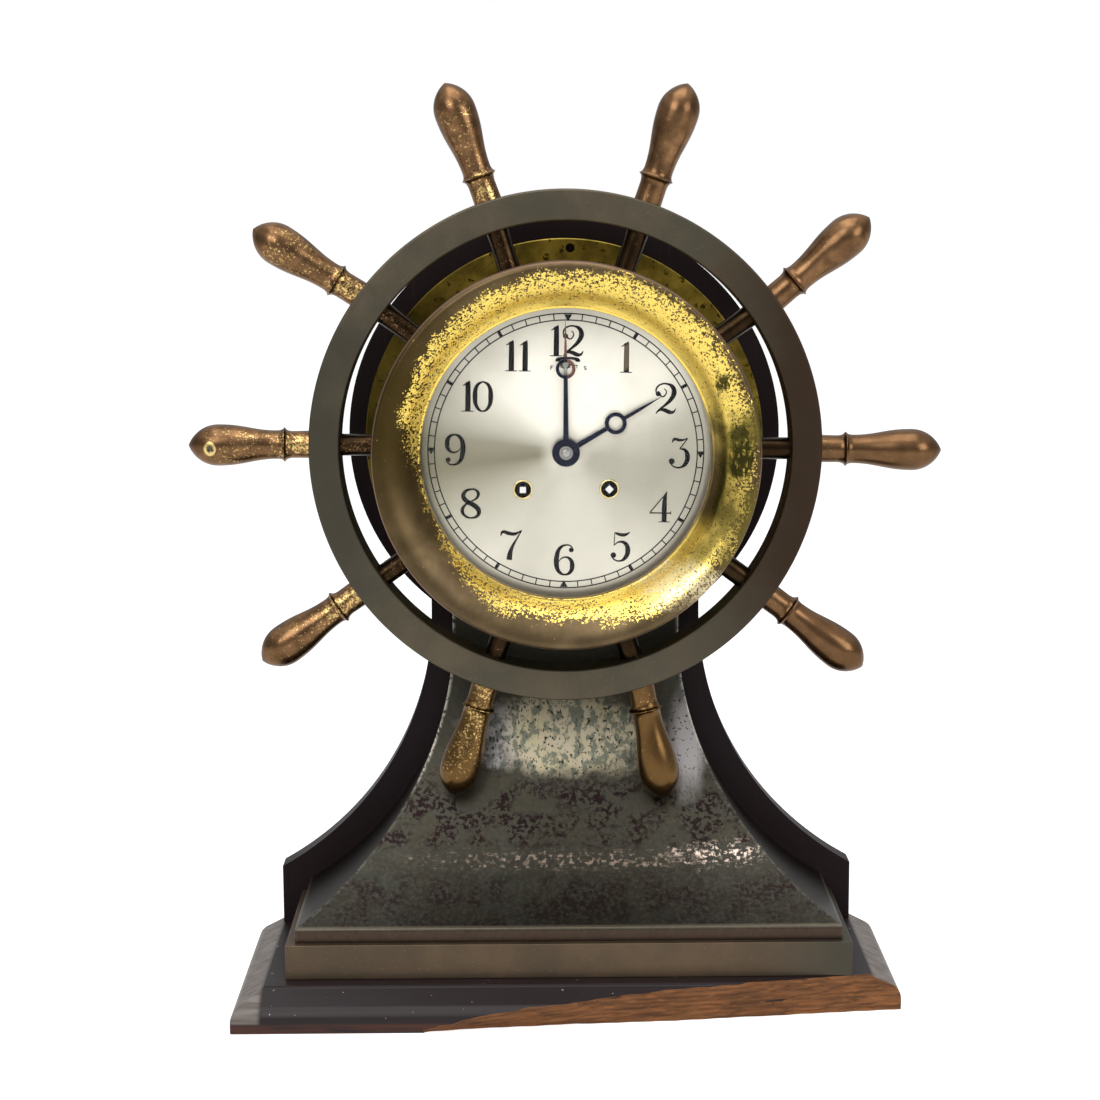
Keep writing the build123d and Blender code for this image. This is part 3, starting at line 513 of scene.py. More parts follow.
def dark_wood(name, along="X"):
    """Stained wood, rubbed pale and reddish where it has been handled."""
    tint = colours().dark_wood
    f = Finish(name, tint, 0.0, 0.42, specular_ior_level=0.34 if along == "X" else 0.12)
    place = f.place()
    vector = place
    if along == "Z":
        vector = f.add("VectorRotate", {"Vector": vector, "Angle": math.pi / 2},
                rotation_type="Y_AXIS").outputs[0]
    grain = f.group(groups()["grain"], {"Vector": vector, "Fibre": 260.0, "Wander": 0.4})
    cloud = f.noise(vector, 18.0, 3.0)
    worn = f.times(f.ramp(grain, 0.52, 0.75), f.ramp(cloud, 0.4, 0.7))
    base = f.mix(worn, tint, shaded(tint, 2.1))
    if along == "X":
        base = plinth_wear(f, place, grain, base)
        specks = f.ramp(f.noise(place, 420.0, 1.0, 0.4), 0.775, 0.79)
        base = f.mix(specks, base, (0.5, 0.46, 0.4))
    rough = f.between(cloud, 0.34, 0.52)
    return f.finish(base, rough, height=grain, strength=0.12, distance=0.0002)


def plinth_wear(f, place, grain, base):
    """Scuffed ends, a reddish foot and a painted sheen along the ovolo on the plinth."""
    x, y, z = f.xyz(place)
    side = f.maths("ABSOLUTE", x)
    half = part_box("plinth")[1][0]
    ends = f.times(f.ramp(side, half - 0.0165, half - 0.0135), f.ramp(z, 0.0045, 0.0065))
    ends = f.times(ends, f.ramp(z, 0.0212, 0.0195))
    scuffed = f.mix(f.ramp(grain, 0.3, 0.7), (0.14, 0.115, 0.1), (0.31, 0.27, 0.24))
    base = f.mix(f.times(ends, 0.8), base, scuffed)
    foot = f.times(f.ramp(z, 0.006, 0.004), f.ramp(x, -0.02, -0.06))
    base = f.mix(f.times(foot, f.ramp(grain, 0.38, 0.6)), base, (0.07, 0.022, 0.013))
    # a paler band across the ovolo's middle, away from the ends: painted sheen of the quarter round
    painted_ovolo_sheen = f.times(f.ramp(z, 0.0085, 0.0095), f.ramp(z, 0.0125, 0.0105))
    painted_ovolo_sheen = f.times(painted_ovolo_sheen, f.ramp(side, half - 0.01, half - 0.02))
    return f.mix(f.times(painted_ovolo_sheen, 0.35), base, (0.04, 0.031, 0.029))


def raw_wood(name):
    tint = colours().raw_wood
    f = Finish(name, tint, 0.0, 0.85)
    vector = f.place()
    tilted = f.add("VectorRotate", {"Vector": vector, "Angle": 0.06},
            rotation_type="Y_AXIS").outputs[0]
    grain = f.group(groups()["grain"], {"Vector": tilted, "Fibre": 420.0, "Wander": 0.5})
    coarse = f.group(groups()["grain"], {"Vector": tilted, "Fibre": 150.0, "Wander": 0.8})
    base = f.mix(f.ramp(grain, 0.3, 0.7), shaded(tint, 0.45), shaded(tint, 1.4))
    cracks = f.ramp(coarse, 0.58, 0.68)
    base = f.mix(cracks, base, (0.03, 0.014, 0.009))
    height = f.minus(grain, cracks)
    return f.finish(base, height=height, strength=0.7, distance=0.0008)


def old_bronze(name, tint, lighter=1.7, metallic=0.75, roughness=0.42, shades=()):
    """A dull cast patina with faint clouds and pin pricks, and shades that take over along X."""
    f = Finish(name, tint, metallic, roughness)
    vector = f.place()
    cloud = f.noise(vector, 22.0, 5.0, 0.6)
    fine = f.noise(vector, 700.0, 3.0, 0.6)
    base = f.mix(f.ramp(cloud, 0.38, 0.68), shaded(tint, 0.82),
            (tint[0] * 1.18, tint[1] * 1.1, tint[2] * 1.02))
    pricks = f.times(f.ramp(fine, 0.62, 0.7), 0.5)
    base = f.mix(pricks, base, shaded(tint, lighter))
    x = f.xyz(vector)[0]
    ragged = f.plus(x, f.scaled(cloud, 0.08, -0.04))
    for start, end, shade in shades:
        base = f.mix(f.ramp(ragged, start, end), base, shade)
    rough = f.between(cloud, roughness - 0.06, roughness + 0.1)
    return f.finish(base, rough, height=fine, strength=0.06, distance=0.0001)


# How far out the bezel's bright brass reaches in millimetres, by degrees clockwise from twelve
BRIGHT_REACH = ((0, 96), (30, 99), (60, 98.5), (90, 98), (120, 98), (150, 95), (180, 85.5),
                (210, 88), (225, 83.5), (240, 78), (255, 77), (270, 80), (285, 88), (300, 90),
                (315, 92), (330, 93.5), (345, 95.5), (360, 96))


def bezel_brass(name):
    """Bright brass breaking through brown, with green tarnish at the right."""
    tint = colours()
    f = Finish(name, tint.bright_brass, 1.0, 0.3)
    vector, _, reach, share = f.round_dial()
    low, span = 70.0, 30.0
    level = f.curve(share, [(a / 360, (r - low) / span) for a, r in BRIGHT_REACH])
    limit = f.scaled(level, span * MM, low * MM)
    wander = f.scaled(f.noise(vector, 70.0, 4.0), 0.012, -0.006)
    left = f.minus(f.plus(limit, wander), reach)
    cover = f.curve(f.scaled(left, 36.0, 0.12), [(0.0, 0.0), (0.1, 0.3), (0.22, 0.58),
            (0.45, 0.72), (1.0, 0.97)])
    bright = speckle(f, vector, 1250.0, cover, 0.06)
    cloud = f.noise(vector, 60.0, 4.0)
    brown = f.mix(f.ramp(cloud, 0.35, 0.7), shaded(tint.brown_brass, 0.75),
            shaded(tint.brown_brass, 1.3))
    # painted dark reflection: the brown darkens most round nine o'clock, and a little at two and
    # twelve
    painted_dark_reflection = f.curve(share, [(0.0, 0.25), (0.2, 0.45), (0.5, 0.1), (0.62, 0.0), (0.7, 0.6),
            (0.76, 0.95), (0.82, 0.95), (0.9, 0.5), (1.0, 0.25)])
    brown = f.mix(painted_dark_reflection, brown, (0.052, 0.035, 0.01))
    gold = f.mix(f.ramp(f.noise(vector, 300.0, 4.0), 0.35, 0.75), shaded(tint.bright_brass, 0.97),
            tint.bright_brass)
    base = f.mix(bright, brown, gold)
    # the pinkish line on the turned outer lip is a painted highlight
    lip = f.ramp(reach, 0.0998, 0.1005)
    base = f.mix(f.times(lip, 0.6), base, (0.4, 0.24, 0.17))
    veil = f.curve(share, [(0.17, 0.0), (0.22, 0.85), (0.33, 0.8), (0.4, 0.0)])
    veil = f.times(veil, f.ramp(cloud, 0.35, 0.6))
    base = f.mix(veil, base, (0.13, 0.105, 0.022))
    # a dark band on the inner slope from two to four o'clock: painted shadow
    inner = f.plus(reach, f.scaled(cloud, 0.004, -0.002))
    arc = f.curve(share, [(0.19, 0.0), (0.225, 0.55), (0.27, 0.95), (0.31, 0.95), (0.335, 0.0)])
    arc = f.times(arc, f.ramp(inner, 0.0842, 0.0826))
    shade = f.mix(f.ramp(reach, 0.078, 0.0825), (0.17, 0.12, 0.055), (0.05, 0.046, 0.01))
    base = f.mix(arc, base, shade)
    base = f.mix(bezel_tarnish(f, vector), base, (0.034, 0.032, 0.008))
    # pale gold spots in the pits at five o'clock: painted highlights
    pits = f.ramp(f.noise(vector, 900.0, 3.0), 0.56, 0.5)
    worn = f.times(pits, patch(f, (0.058, -0.03, WHEEL_Z - 0.066), (0.032, 0.06, 0.017), 0.4, 2.0,
            0.7))
    base = f.mix(f.times(worn, 0.75), base, (1.0, 0.86, 0.56))
    rough = f.between(bright, 0.42, 0.27)
    return f.finish(base, rough, height=bright, strength=0.12, distance=0.0001)


def bezel_tarnish(f, vector):
    """Green-black blotches beside three o'clock and at two, torn by upright streaks."""
    long = patch(f, (0.0895, -0.03, WHEEL_Z - 0.001), (0.0068, 0.06, 0.0175), 0.5, 1.6, 0.4)
    blob = patch(f, (0.0885, -0.03, WHEEL_Z + 0.012), (0.0055, 0.06, 0.0062), 0.4, 1.6, 0.4)
    small = patch(f, (0.0800, -0.03, WHEEL_Z + 0.0385), (0.0046, 0.06, 0.0068), 0.6, 1.6, 0.5)
    torn = f.ramp(f.noise(f.place((0, 0, 0), (1, 1, 0.45)), 520.0, 4.0), 0.34, 0.46)
    both = f.maths("MAXIMUM", long, small)
    torn = f.times(f.times(both, 0.95), torn)
    return f.maths("MAXIMUM", torn, f.times(blob, 0.9))


def handled_brass(name, tint, worn=0.3, fleck=(0.74, 0.52, 0.2), dented=False):
    """Brown patina rubbed through to brass on its front, more so at the left and by the rim."""
    f = Finish(name, tint, 1.0, 0.27)
    vector, _, reach, _ = f.round_dial()
    x, y, z = f.xyz(vector)
    cloud = f.noise(vector, 34.0, 4.0)
    along = f.curve(f.scaled(reach, 10.0, -1.1), [(0.0, 0.9), (0.25, 1.0), (0.42, 0.95),
            (0.48, 0.72), (0.72, 0.62), (0.82, 0.4), (0.88, 0.0)])
    front = f.ramp(y, WHEEL_Y - 0.001, WHEEL_Y - 0.0075)
    sides = f.between(f.ramp(x, 0.09, -0.09), 0.3, 1.12)
    share = f.times(f.times(along, front), f.times(sides, worn))
    share = f.times(share, f.between(f.ramp(cloud, 0.36, 0.6), 0.6, 1.0))
    flecks = speckle(f, vector, 1250.0, share, 0.2)
    brown = f.mix(f.ramp(f.noise(vector, 130.0, 4.0), 0.3, 0.75), shaded(tint, 0.62),
            shaded(tint, 1.25))
    brown = f.mix(f.ramp(z, -0.11, -0.15), brown, tuple(c * share for c,
            share in zip(tint, (0.74, 0.76, 0.58))))
    dim = f.times(f.ramp(x, 0.08, 0.13), f.ramp(z, 0.06, 0.02))
    brown = f.mix(f.times(dim, 0.6), brown, shaded(tint, 0.72))
    base = f.mix(flecks, brown, fleck)
    if dented:
        turn = sizes().wheel_turn + math.radians(HANDLE_LEAN[5])
        middle = (-DENT_REACH, 0, DENT_REACH * turn - DENT_RISE)
        gap = f.add("VectorMath", {0: vector, 1: middle}, operation="SUBTRACT")
        gap = f.add("VectorMath", {0: gap.outputs[0], 1: (1, 0, 0.85)}, operation="MULTIPLY")
        gap = f.length(gap.outputs[0])
        ring = f.times(f.ramp(gap, 0.0036, 0.0029), f.ramp(y, WHEEL_Y - 0.004, WHEEL_Y - 0.006))
        base = f.mix(ring, base, (0.8, 0.62, 0.25))
        base = f.mix(f.times(ring, f.ramp(gap, 0.0022, 0.0014)), base, (0.11, 0.09, 0.06))
    return f.finish(base, height=cloud, strength=0.1, distance=0.0003)


def olive_brass(name):
    tint = colours().olive_brass
    f = Finish(name, tint, 1.0, 0.34)
    vector = f.place()
    cloud = f.noise(vector, 40.0, 5.0, 0.6)
    spots = speckle(f, vector, 420.0, f.scaled(cloud, 0.5, 0.0), 0.1)
    base = f.mix(f.ramp(cloud, 0.35, 0.7), shaded(tint, 0.6), shaded(tint, 1.9))
    base = f.mix(spots, base, shaded(tint, 0.25))
    x = f.xyz(vector)[0]
    dim = f.times(f.ramp(x, -0.045, -0.09), 0.68)
    base = f.mix(dim, base, shaded(tint, 0.3))
    return f.finish(base, f.between(cloud, 0.28, 0.45))


def pedestal_bronze(name):
    """Dark bronze with maroon mottling, and pale worn places."""
    tint = colours().pedestal
    f = Finish(name, tint, 0.8, 0.36)
    vector = f.place()
    x, y, z = f.xyz(vector)
    cloud = f.noise(vector, 30.0, 5.0, 0.6)
    fine = f.noise(vector, 420.0, 5.0, 0.65)
    grey = (0.05, 0.05, 0.038)
    clouds = f.ramp(f.noise(vector, 48.0, 5.0, 0.6), 0.35, 0.7)
    high = f.mix(clouds, tint, grey)
    lower = f.mix(clouds, shaded(tint, 0.5), shaded(grey, 0.58))
    base = f.mix(f.ramp(z, 0.1, 0.058), high, lower)
    base = f.mix(f.times(f.ramp(fine, 0.45, 0.62), 0.25), base, (0.09, 0.08, 0.06))
    # the front's distance from the mitred edge, and how far round the side a point is
    low_corner, high_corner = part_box("pedestal")
    half, front = high_corner[0], low_corner[1]
    flare, neck = PEDESTAL_FLARE * MM, PEDESTAL_NECK * MM
    foot_z = low_corner[2] + PEDESTAL_STEP * MM
    arc_z = flare_top(half, foot_z, neck, flare)
    drop = f.minus(arc_z, z)
    drop = f.add("Clamp", {"Value": drop, "Min": 0.0, "Max": arc_z - foot_z})
    run = f.maths("SQRT", f.minus(flare ** 2, f.maths("POWER", drop.outputs[0], 2.0)))
    wide = f.minus(neck + flare, run)
    side = f.minus(f.plus(y, wide), front + half)
    inwards = f.minus(wide, f.maths("ABSOLUTE", x))
    edge_gap = f.plus(side, inwards)
    # maroon blots in ragged clusters
    cluster = f.ramp(f.noise(vector, 75.0, 3.0), 0.38, 0.56)
    blot = f.times(f.ramp(f.noise(vector, 380.0, 4.0, 0.6), 0.47, 0.53), cluster)
    zone = f.curve(f.times(z, 5.0), [(0.22, 0.5), (0.31, 0.9), (0.35, 0.15), (0.39, 0.2),
            (0.41, 1.0), (0.52, 1.0), (0.57, 0.5), (0.62, 0.15), (0.7, 0.05)])
    base = f.mix(f.times(blot, zone), base, (0.012, 0.004, 0.004))
    # the worn neck with its green spots
    neck_patch = patch(f, (0.0, 0.036, 0.135), (0.060, 0.09, 0.0265), 0.2, 2.6, 0.45)
    drips = f.place((0, 0, 0), (1, 1, 0.6))
    spots = f.ramp(f.noise(drips, 240.0, 5.0, 0.6), 0.47, 0.56)
    dots = f.ramp(f.noise(drips, 620.0, 2.0), 0.6, 0.65)
    spots = f.times(spots, 0.85)
    ground = f.mix(f.ramp(cloud, 0.35, 0.65), (0.53, 0.46, 0.35), (0.48, 0.42, 0.27))
    ground = f.mix(f.ramp(x, -0.025, -0.042), ground, (0.43, 0.41, 0.43))
    worn = f.mix(spots, ground, (0.13, 0.15, 0.115))
    worn = f.mix(dots, worn, (0.04, 0.045, 0.035))
    base = f.mix(neck_patch, base, worn)
    # the splashed streak across the flare, brightest at the right
    streak = patch(f, (0.006, -0.004, 0.0740), (0.112, 0.05, 0.0055), 0.6, 7.0, 0.9)
    bright = patch(f, (0.083, -0.004, 0.0765), (0.03, 0.05, 0.0075), 0.5, 3.0, 0.8)
    drops = f.ramp(f.noise(vector, 340.0, 4.0, 0.6), 0.5, 0.62)
    faint = f.times(f.times(streak, drops), 0.55)
    base = f.mix(faint, base, (0.46, 0.35, 0.27))
    strong = f.times(bright, f.ramp(fine, 0.5, 0.6))
    base = f.mix(strong, base, (0.75, 0.6, 0.5))
    # the blue shine beside the lower right handle
    shine = patch(f, (0.067, 0.036, 0.13), (0.0135, 0.09, 0.036), 0.15, 2.0, 0.7)
    dots = f.ramp(f.noise(vector, 620.0, 2.0), 0.66, 0.62)
    base = f.mix(f.times(shine, dots), base, (0.36, 0.34, 0.335))
    # the sides are painted darker as shade, and the mitred edges are rubbed
    base = f.mix(f.times(f.ramp(side, 0.0003, 0.0012), 0.8), base, (0.012, 0.008, 0.005))
    rubbed = f.times(f.ramp(edge_gap, 0.0022, 0.0004), f.ramp(fine, 0.4, 0.55))
    upper_left = f.times(f.ramp(x, -0.04, -0.05), f.ramp(z, 0.1, 0.128))
    upper_right = f.times(f.ramp(x, 0.04, 0.05), f.ramp(z, 0.11, 0.135))
    upper = f.plus(upper_left, f.times(upper_right, 0.6))
    rubbed = f.times(rubbed, f.between(upper, 0.1, 0.95))
    base = f.mix(rubbed, base, (0.5, 0.47, 0.4))
    # a pale line along the step's top edge: a painted highlight
    lines = f.times(f.ramp(z, foot_z - 0.0012, foot_z - 0.0003),
            f.ramp(z, foot_z + 0.0014, foot_z + 0.0005))
    base = f.mix(f.times(lines, 0.35), base, (0.26, 0.22, 0.16))
    step = f.times(f.ramp(z, foot_z - 0.0008, foot_z - 0.0016), 0.6)
    base = f.mix(step, base, (0.095, 0.058, 0.04))
    rough = f.between(cloud, 0.28, 0.46)
    return f.finish(base, rough, height=fine, strength=0.1, distance=0.0002)


def silvered(name):
    """Silver brushed in rings on turned brass, with its sheen and shade painted into the colour."""
    tint = colours()
    f = Finish(name, tint.silver, 1.0, 0.36, anisotropic=0.6)
    vector, flat, reach, share = f.round_dial()
    round_about = f.add("VectorMath", {0: flat, 1: (0, 1, 0)},
            operation="CROSS_PRODUCT").outputs[0]
    f.set(f.shader, "Tangent", f.add("VectorMath", {0: round_about},
            operation="NORMALIZE").outputs[0])
    rings = f.noise(f.add("CombineXYZ", {0: reach}).outputs[0], 2600.0, 2.0)
    age = f.noise(vector, 25.0, 4.0)
    # painted sheen: two bright lobes as the ring brushing shines, and painted shade in the dull
    # wedges between them
    painted_sheen = f.curve(share, [(0.0, 0.955), (0.05, 0.98), (0.14, 0.87), (0.2, 0.52), (0.27, 0.3),
            (0.34, 0.3), (0.42, 0.46), (0.5, 0.5), (0.6, 0.43), (0.67, 0.25), (0.73, 0.0),
            (0.77, 0.1), (0.8, 0.38), (0.87, 0.85), (0.93, 0.93), (1.0, 0.955)])
    near = f.ramp(reach, 0.005, 0.016)
    painted_sheen = f.plus(f.times(painted_sheen, near), f.times(f.minus(1.0, near), 0.6))
    # towards its edge the dial is painted darker at the top, as the bezel's shadow, and painted
    # lighter at the foot
    far = f.ramp(reach, 0.042, 0.076)
    lift = f.curve(share, [(0.0, 0.0), (0.08, 0.12), (0.16, 0.3), (0.25, 0.45), (0.4, 0.65),
            (0.5, 0.52), (0.6, 0.65), (0.68, 0.5), (0.78, 0.45), (0.88, 0.1), (1.0, 0.0)])
    lift = f.minus(lift, 0.5)
    painted_sheen = f.plus(painted_sheen, f.scaled(lift, far, 0.0))
    base = f.mix(painted_sheen, tint.painted_shade_and_age_silver, tint.silver)
    base = f.mix(f.times(f.ramp(age, 0.4, 0.8), 0.3), base, tint.painted_shade_and_age_silver)
    return f.finish(base, f.between(rings, 0.34, 0.42))


def inked(name):
    """Dark wax, faded where the numeral 1 has worn."""
    f = Finish(name, colours().ink, 0.0, 0.55, specular_ior_level=0.1)
    place = (30.6 * MM, BOARD_FRONT - 69 * MM, WHEEL_Z + 50.2 * MM)
    faded = patch(f, place, (5 * MM, 9 * MM, 9 * MM), 0.1, 2.0, 0.3)
    grime = f.noise(f.place(), 900.0, 3.0)
    base = f.mix(f.ramp(grime, 0.45, 0.8), colours().ink, (0.018, 0.016, 0.015))
    return f.finish(f.mix(faded, base, (0.17, 0.135, 0.09)))


def blued_steel(name):
    """Blue-black, with rust at the minute hand's tip and the right half of its ring."""
    tint = colours().blued
    f = Finish(name, tint, 0.9, 0.3)
    vector = f.place((0, 0, WHEEL_Z))
    x, _, z = f.xyz(vector)
    cloud = f.noise(vector, 300.0, 4.0)
    base = f.mix(f.ramp(cloud, 0.35, 0.7), shaded(tint, 0.7), tint)
    tip = f.ramp(z, 0.0495, 0.0515)
    ring = f.times(f.ramp(x, 0.0, 0.0015), f.ramp(z, 0.038, 0.042))
    narrow = f.ramp(f.maths("ABSOLUTE", x), 0.0075, 0.007)
    rust = f.times(f.maths("MAXIMUM", tip, ring), narrow)
    base = f.mix(rust, base, (0.16, 0.075, 0.055))
    return f.finish(base, f.between(cloud, 0.26, 0.36))


def arbor_steel(name):
    """Steel that is bright on its square's end and painted black below it, as the shade in the
    winding hole.
    """
    f = Finish(name, (0.6, 0.6, 0.58), 1.0, 0.3)
    y = f.add("SeparateXYZ", {0: f.place()}).outputs[1]
    end = BOARD_FRONT - 70.6 * MM
    grime = f.noise(f.place(), 700.0, 3.0)
    base = f.mix(grime, (0.6, 0.6, 0.58), (0.75, 0.75, 0.73))
    # the shank below the square's end is painted black as the shade in the winding hole
    return f.finish(f.mix(f.ramp(y, end + 0.3 * MM, end + 0.6 * MM), base, (0.012, 0.011, 0.01)))


def movement_brass(name):
    """Brushed brass, painted black round the winding arbors as the shade in the winding holes."""
    f = Finish(name, (0.72, 0.52, 0.2), 1.0, 0.28)
    x, _, z = f.add("SeparateXYZ", {0: f.place((0, 0, WHEEL_Z))}).outputs
    lines = f.noise(f.place((0, 0, 0), (1, 1, 4)), 300.0, 4.0)
    base = f.mix(f.ramp(lines, 0.35, 0.7), (0.6, 0.43, 0.16), (0.72, 0.52, 0.2))
    across = f.minus(f.maths("ABSOLUTE", x), WINDING_X * MM)
    gap = f.add("VectorMath", {0: f.add("CombineXYZ", {0: across,
            2: f.plus(z, -WINDING_Z * MM)}).outputs[0]}, operation="LENGTH").outputs["Value"]
    # black within 7 mm of each winding arbor: painted shade of the winding holes
    base = f.mix(f.ramp(gap, 8.5 * MM, 7 * MM), base, (0.01, 0.009, 0.008))
    return f.finish(base, f.between(lines, 0.24, 0.36))


def clear_glass(name):
    f = Finish(name, (1, 1, 1), 0.0, 0.0, transmission_weight=1.0, ior=1.18)
    through = f.add("BsdfTransparent")
    path = f.add("LightPath").outputs
    share = f.maths("MAXIMUM", path["Is Shadow Ray"], path["Is Diffuse Ray"])
    both = f.add("MixShader", {0: share, 1: f.shader.outputs[0], 2: through.outputs[0]})
    out = f.nodes["Material Output"]
    f.links.new(both.outputs[0], out.inputs["Surface"])
    return f.material


def plain_metal(name, tint, roughness=0.3, scratch=300.0):
    f = Finish(name, tint, 1.0, roughness)
    vector = f.place((0, 0, 0), (1, 1, 4))
    lines = f.noise(vector, scratch, 4.0)
    base = f.mix(f.ramp(lines, 0.35, 0.7), shaded(tint, 0.85), tint)
    return f.finish(base, f.between(lines, roughness - 0.05, roughness + 0.08))


MATERIALS = {}


def material(key):
    """Each finish is built once, when a piece first asks for it."""
    tint = colours()
    makers = {
        "plinth": lambda: dark_wood("plinth_wood"),
        "board": lambda: dark_wood("board_wood", "Z"),
        "raw": lambda: raw_wood("raw_wood"),
        "rim": lambda: old_bronze("rim_bronze", tint.rim,
                                  shades=((0.05, 0.13, (0.038, 0.022, 0.012)),
                                          (-0.085, -0.14, (0.064, 0.057, 0.04)))),
        "band": lambda: old_bronze("band_bronze", tint.band,
                                   shades=((0.09, 0.16, (0.066, 0.06, 0.044)),)),
        "pedestal": lambda: pedestal_bronze("pedestal_bronze"),
        "bezel": lambda: bezel_brass("bezel_brass"),
        "handle": lambda: handled_brass("handle_brass", (0.195, 0.105, 0.05), 0.56),
        "dented": lambda: handled_brass("dented_handle_brass", (0.195, 0.105, 0.05), 0.56,
                                        dented=True),
        # the spokes take the handles' finish with a far darker tint: painted shade, as they lie in
        # shadow; their rusty flecks are their own colour
        "spoke": lambda: handled_brass("spoke_brass", (0.034, 0.02, 0.0095), 0.44,
                                       fleck=(0.24, 0.125, 0.062)),
        "case": lambda: olive_brass("case_brass"),
        "dial": lambda: silvered("dial_silver"),
        "ink": lambda: inked("dial_ink"),
        "hands": lambda: blued_steel("hand_steel"),
        "arbor": lambda: arbor_steel("arbor_steel"),
        "glass": lambda: clear_glass("crystal_glass"),
        "steel": lambda: plain_metal("bright_steel", (0.34, 0.33, 0.31), 0.3),
        "brass": lambda: movement_brass("movement_brass"),
        "grommet": lambda: plain_metal("grommet_brass", (0.78, 0.64, 0.3), 0.25),
        "bell": lambda: plain_metal("bell_metal", (0.72, 0.6, 0.36), 0.2),
    }
    if key not in MATERIALS:
        MATERIALS[key] = makers[key]()
    return MATERIALS[key]


# Pieces

class CLOCK_OT_plinth(bpy.types.Operator):
    """Add the moulded plinth with its broken front edge"""
    bl_idname = "clock.plinth"
    bl_label = "Plinth"

    def execute(self, context):
        low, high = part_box("plinth")
        back, half, top = high[1], high[0], high[2]
        s = sizes()
        step_z, round_r = top - 1.3 * MM, 9 * MM
        stations = [(half, low[1], 0.0), (half, low[1], s.ovolo_edge)]
        for n in range(1, 11):
            angle = math.radians(60) * n / 10
            inset = round_r * (1 - math.cos(angle))
            stations.append((half - inset, low[1] + inset,
                    s.ovolo_edge + round_r * math.sin(angle)))
        for height in (step_z, top):
            stations.append((half - s.ovolo, low[1] + s.ovolo, height))
        piece = stack(stations, back)
        soften(piece, s.plinth_edge, 2, math.radians(35))
        cutter = break_cutter(low[1], half, top)
        piece.data.materials.append(material("plinth"))
        cutter.data.materials.append(material("raw"))
        apply_modifier(piece, "BOOLEAN", object=cutter, operation="DIFFERENCE", solver="EXACT",
                material_mode="TRANSFER")
        bpy.data.objects.remove(cutter, do_unlink=True)
        smooth(piece, math.radians(30))
        piece.name = "plinth_wood_block"
        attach(piece, STAND)
        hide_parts("plinth")
        return {"FINISHED"}


# The break's line in millimetres: place along the front, reach in at the foot, lean
BREAK_LINE = ((-78.1, -0.4, 1), (-74.5, 2.5, 1), (-50.6, 6.5, 0.73), (-21.3, 9.8, 0.56),
              (0, 11.8, 0.5), (24.8, 13.7, 0.26), (55, 15.9, 0.12), (103, 21.9, 0.24),
              (151, 28.3, 0.11), (186.4, 32.3, -0.06))


def break_reach(x, z):
    """How far the broken face reaches in from the front at a place and height, in metres."""
    for a, b in zip(BREAK_LINE, BREAK_LINE[1:]):
        if x <= b[0] * MM or b is BREAK_LINE[-1]:
            t = (x / MM - a[0]) / (b[0] - a[0])
            reach = a[1] + t * (b[1] - a[1])
            lean = a[2] + t * (b[2] - a[2])
            return (reach - lean * z / MM) * MM


def break_cutter(front, half, top):
    """The wood that is missing: a block whose inner face follows the split."""
    clear_selection()
    x0, x1 = BREAK_LINE[0][0] * MM - 0.012, half + 0.01
    bpy.ops.mesh.primitive_grid_add(x_subdivisions=150, y_subdivisions=26, size=1)
    bpy.ops.object.mode_set(mode="EDIT")
    bpy.ops.mesh.select_all(action="SELECT")
    bpy.ops.mesh.extrude_region_move(TRANSFORM_OT_translate={"value": (0, 0, 1)})
    bpy.ops.mesh.select_all(action="SELECT")
    bpy.ops.mesh.normals_make_consistent(inside=False)
    bpy.ops.object.mode_set(mode="OBJECT")
    piece = bpy.context.active_object
    z0, z1 = -0.006, top + 0.006
    for point in piece.data.vertices:
        u, v, w = point.co.x + 0.5, point.co.y + 0.5, point.co.z
        x = x0 + u * (x1 - x0)
        z = z0 + v * (z1 - z0)
        if w < 0.5:
            ripple = 0.35 * MM * math.sin(z * 2300 + 3 * math.sin(x * 31))
            ripple += 0.25 * MM * math.sin(z * 5200 + x * 90 + 2 * math.sin(x * 57))
            ripple += 0.3 * MM * math.sin(x * 420 + 1.7 * math.sin(z * 900))
            y = front + break_reach(x, z) + ripple
        else:
            y = front - 0.05
        point.co = (x, y, z)
    return outwards(piece)


class CLOCK_OT_backboard(bpy.types.Operator):
    """Add the keyhole backboard"""
    bl_idname = "clock.backboard"
    bl_label = "Backboard"

    def execute(self, context):
        low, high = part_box("backboard")
        plinth_top = low[2]
        disc, neck, foot = 119 * MM, 74.8 * MM, high[0]
        flare, foot_top = 167.7 * MM, plinth_top + 33 * MM
        outline = [(foot, plinth_top), (foot, foot_top)]
        outline += flare_points(foot, foot_top, neck, flare, 32)
        disc_z = high[2] - disc
        meet = disc_z - math.sqrt(disc ** 2 - neck ** 2)
        outline.append((neck, meet))
        first = math.asin((meet - disc_z) / disc)
        for n in range(1, 65):
            angle = first + (math.pi / 2 - first) * n / 64
            outline.append((max(disc * math.cos(angle), 0.0002), disc_z + disc * math.sin(angle)))
        piece = stack([(x, low[1], z) for x, z in outline], high[1])
        soften(piece, sizes().board_edge, 2, math.radians(40))
        smooth(piece)
        hand_over(piece, "keyhole_backboard", STAND, "board_wood", material("board"), "backboard")
        return {"FINISHED"}


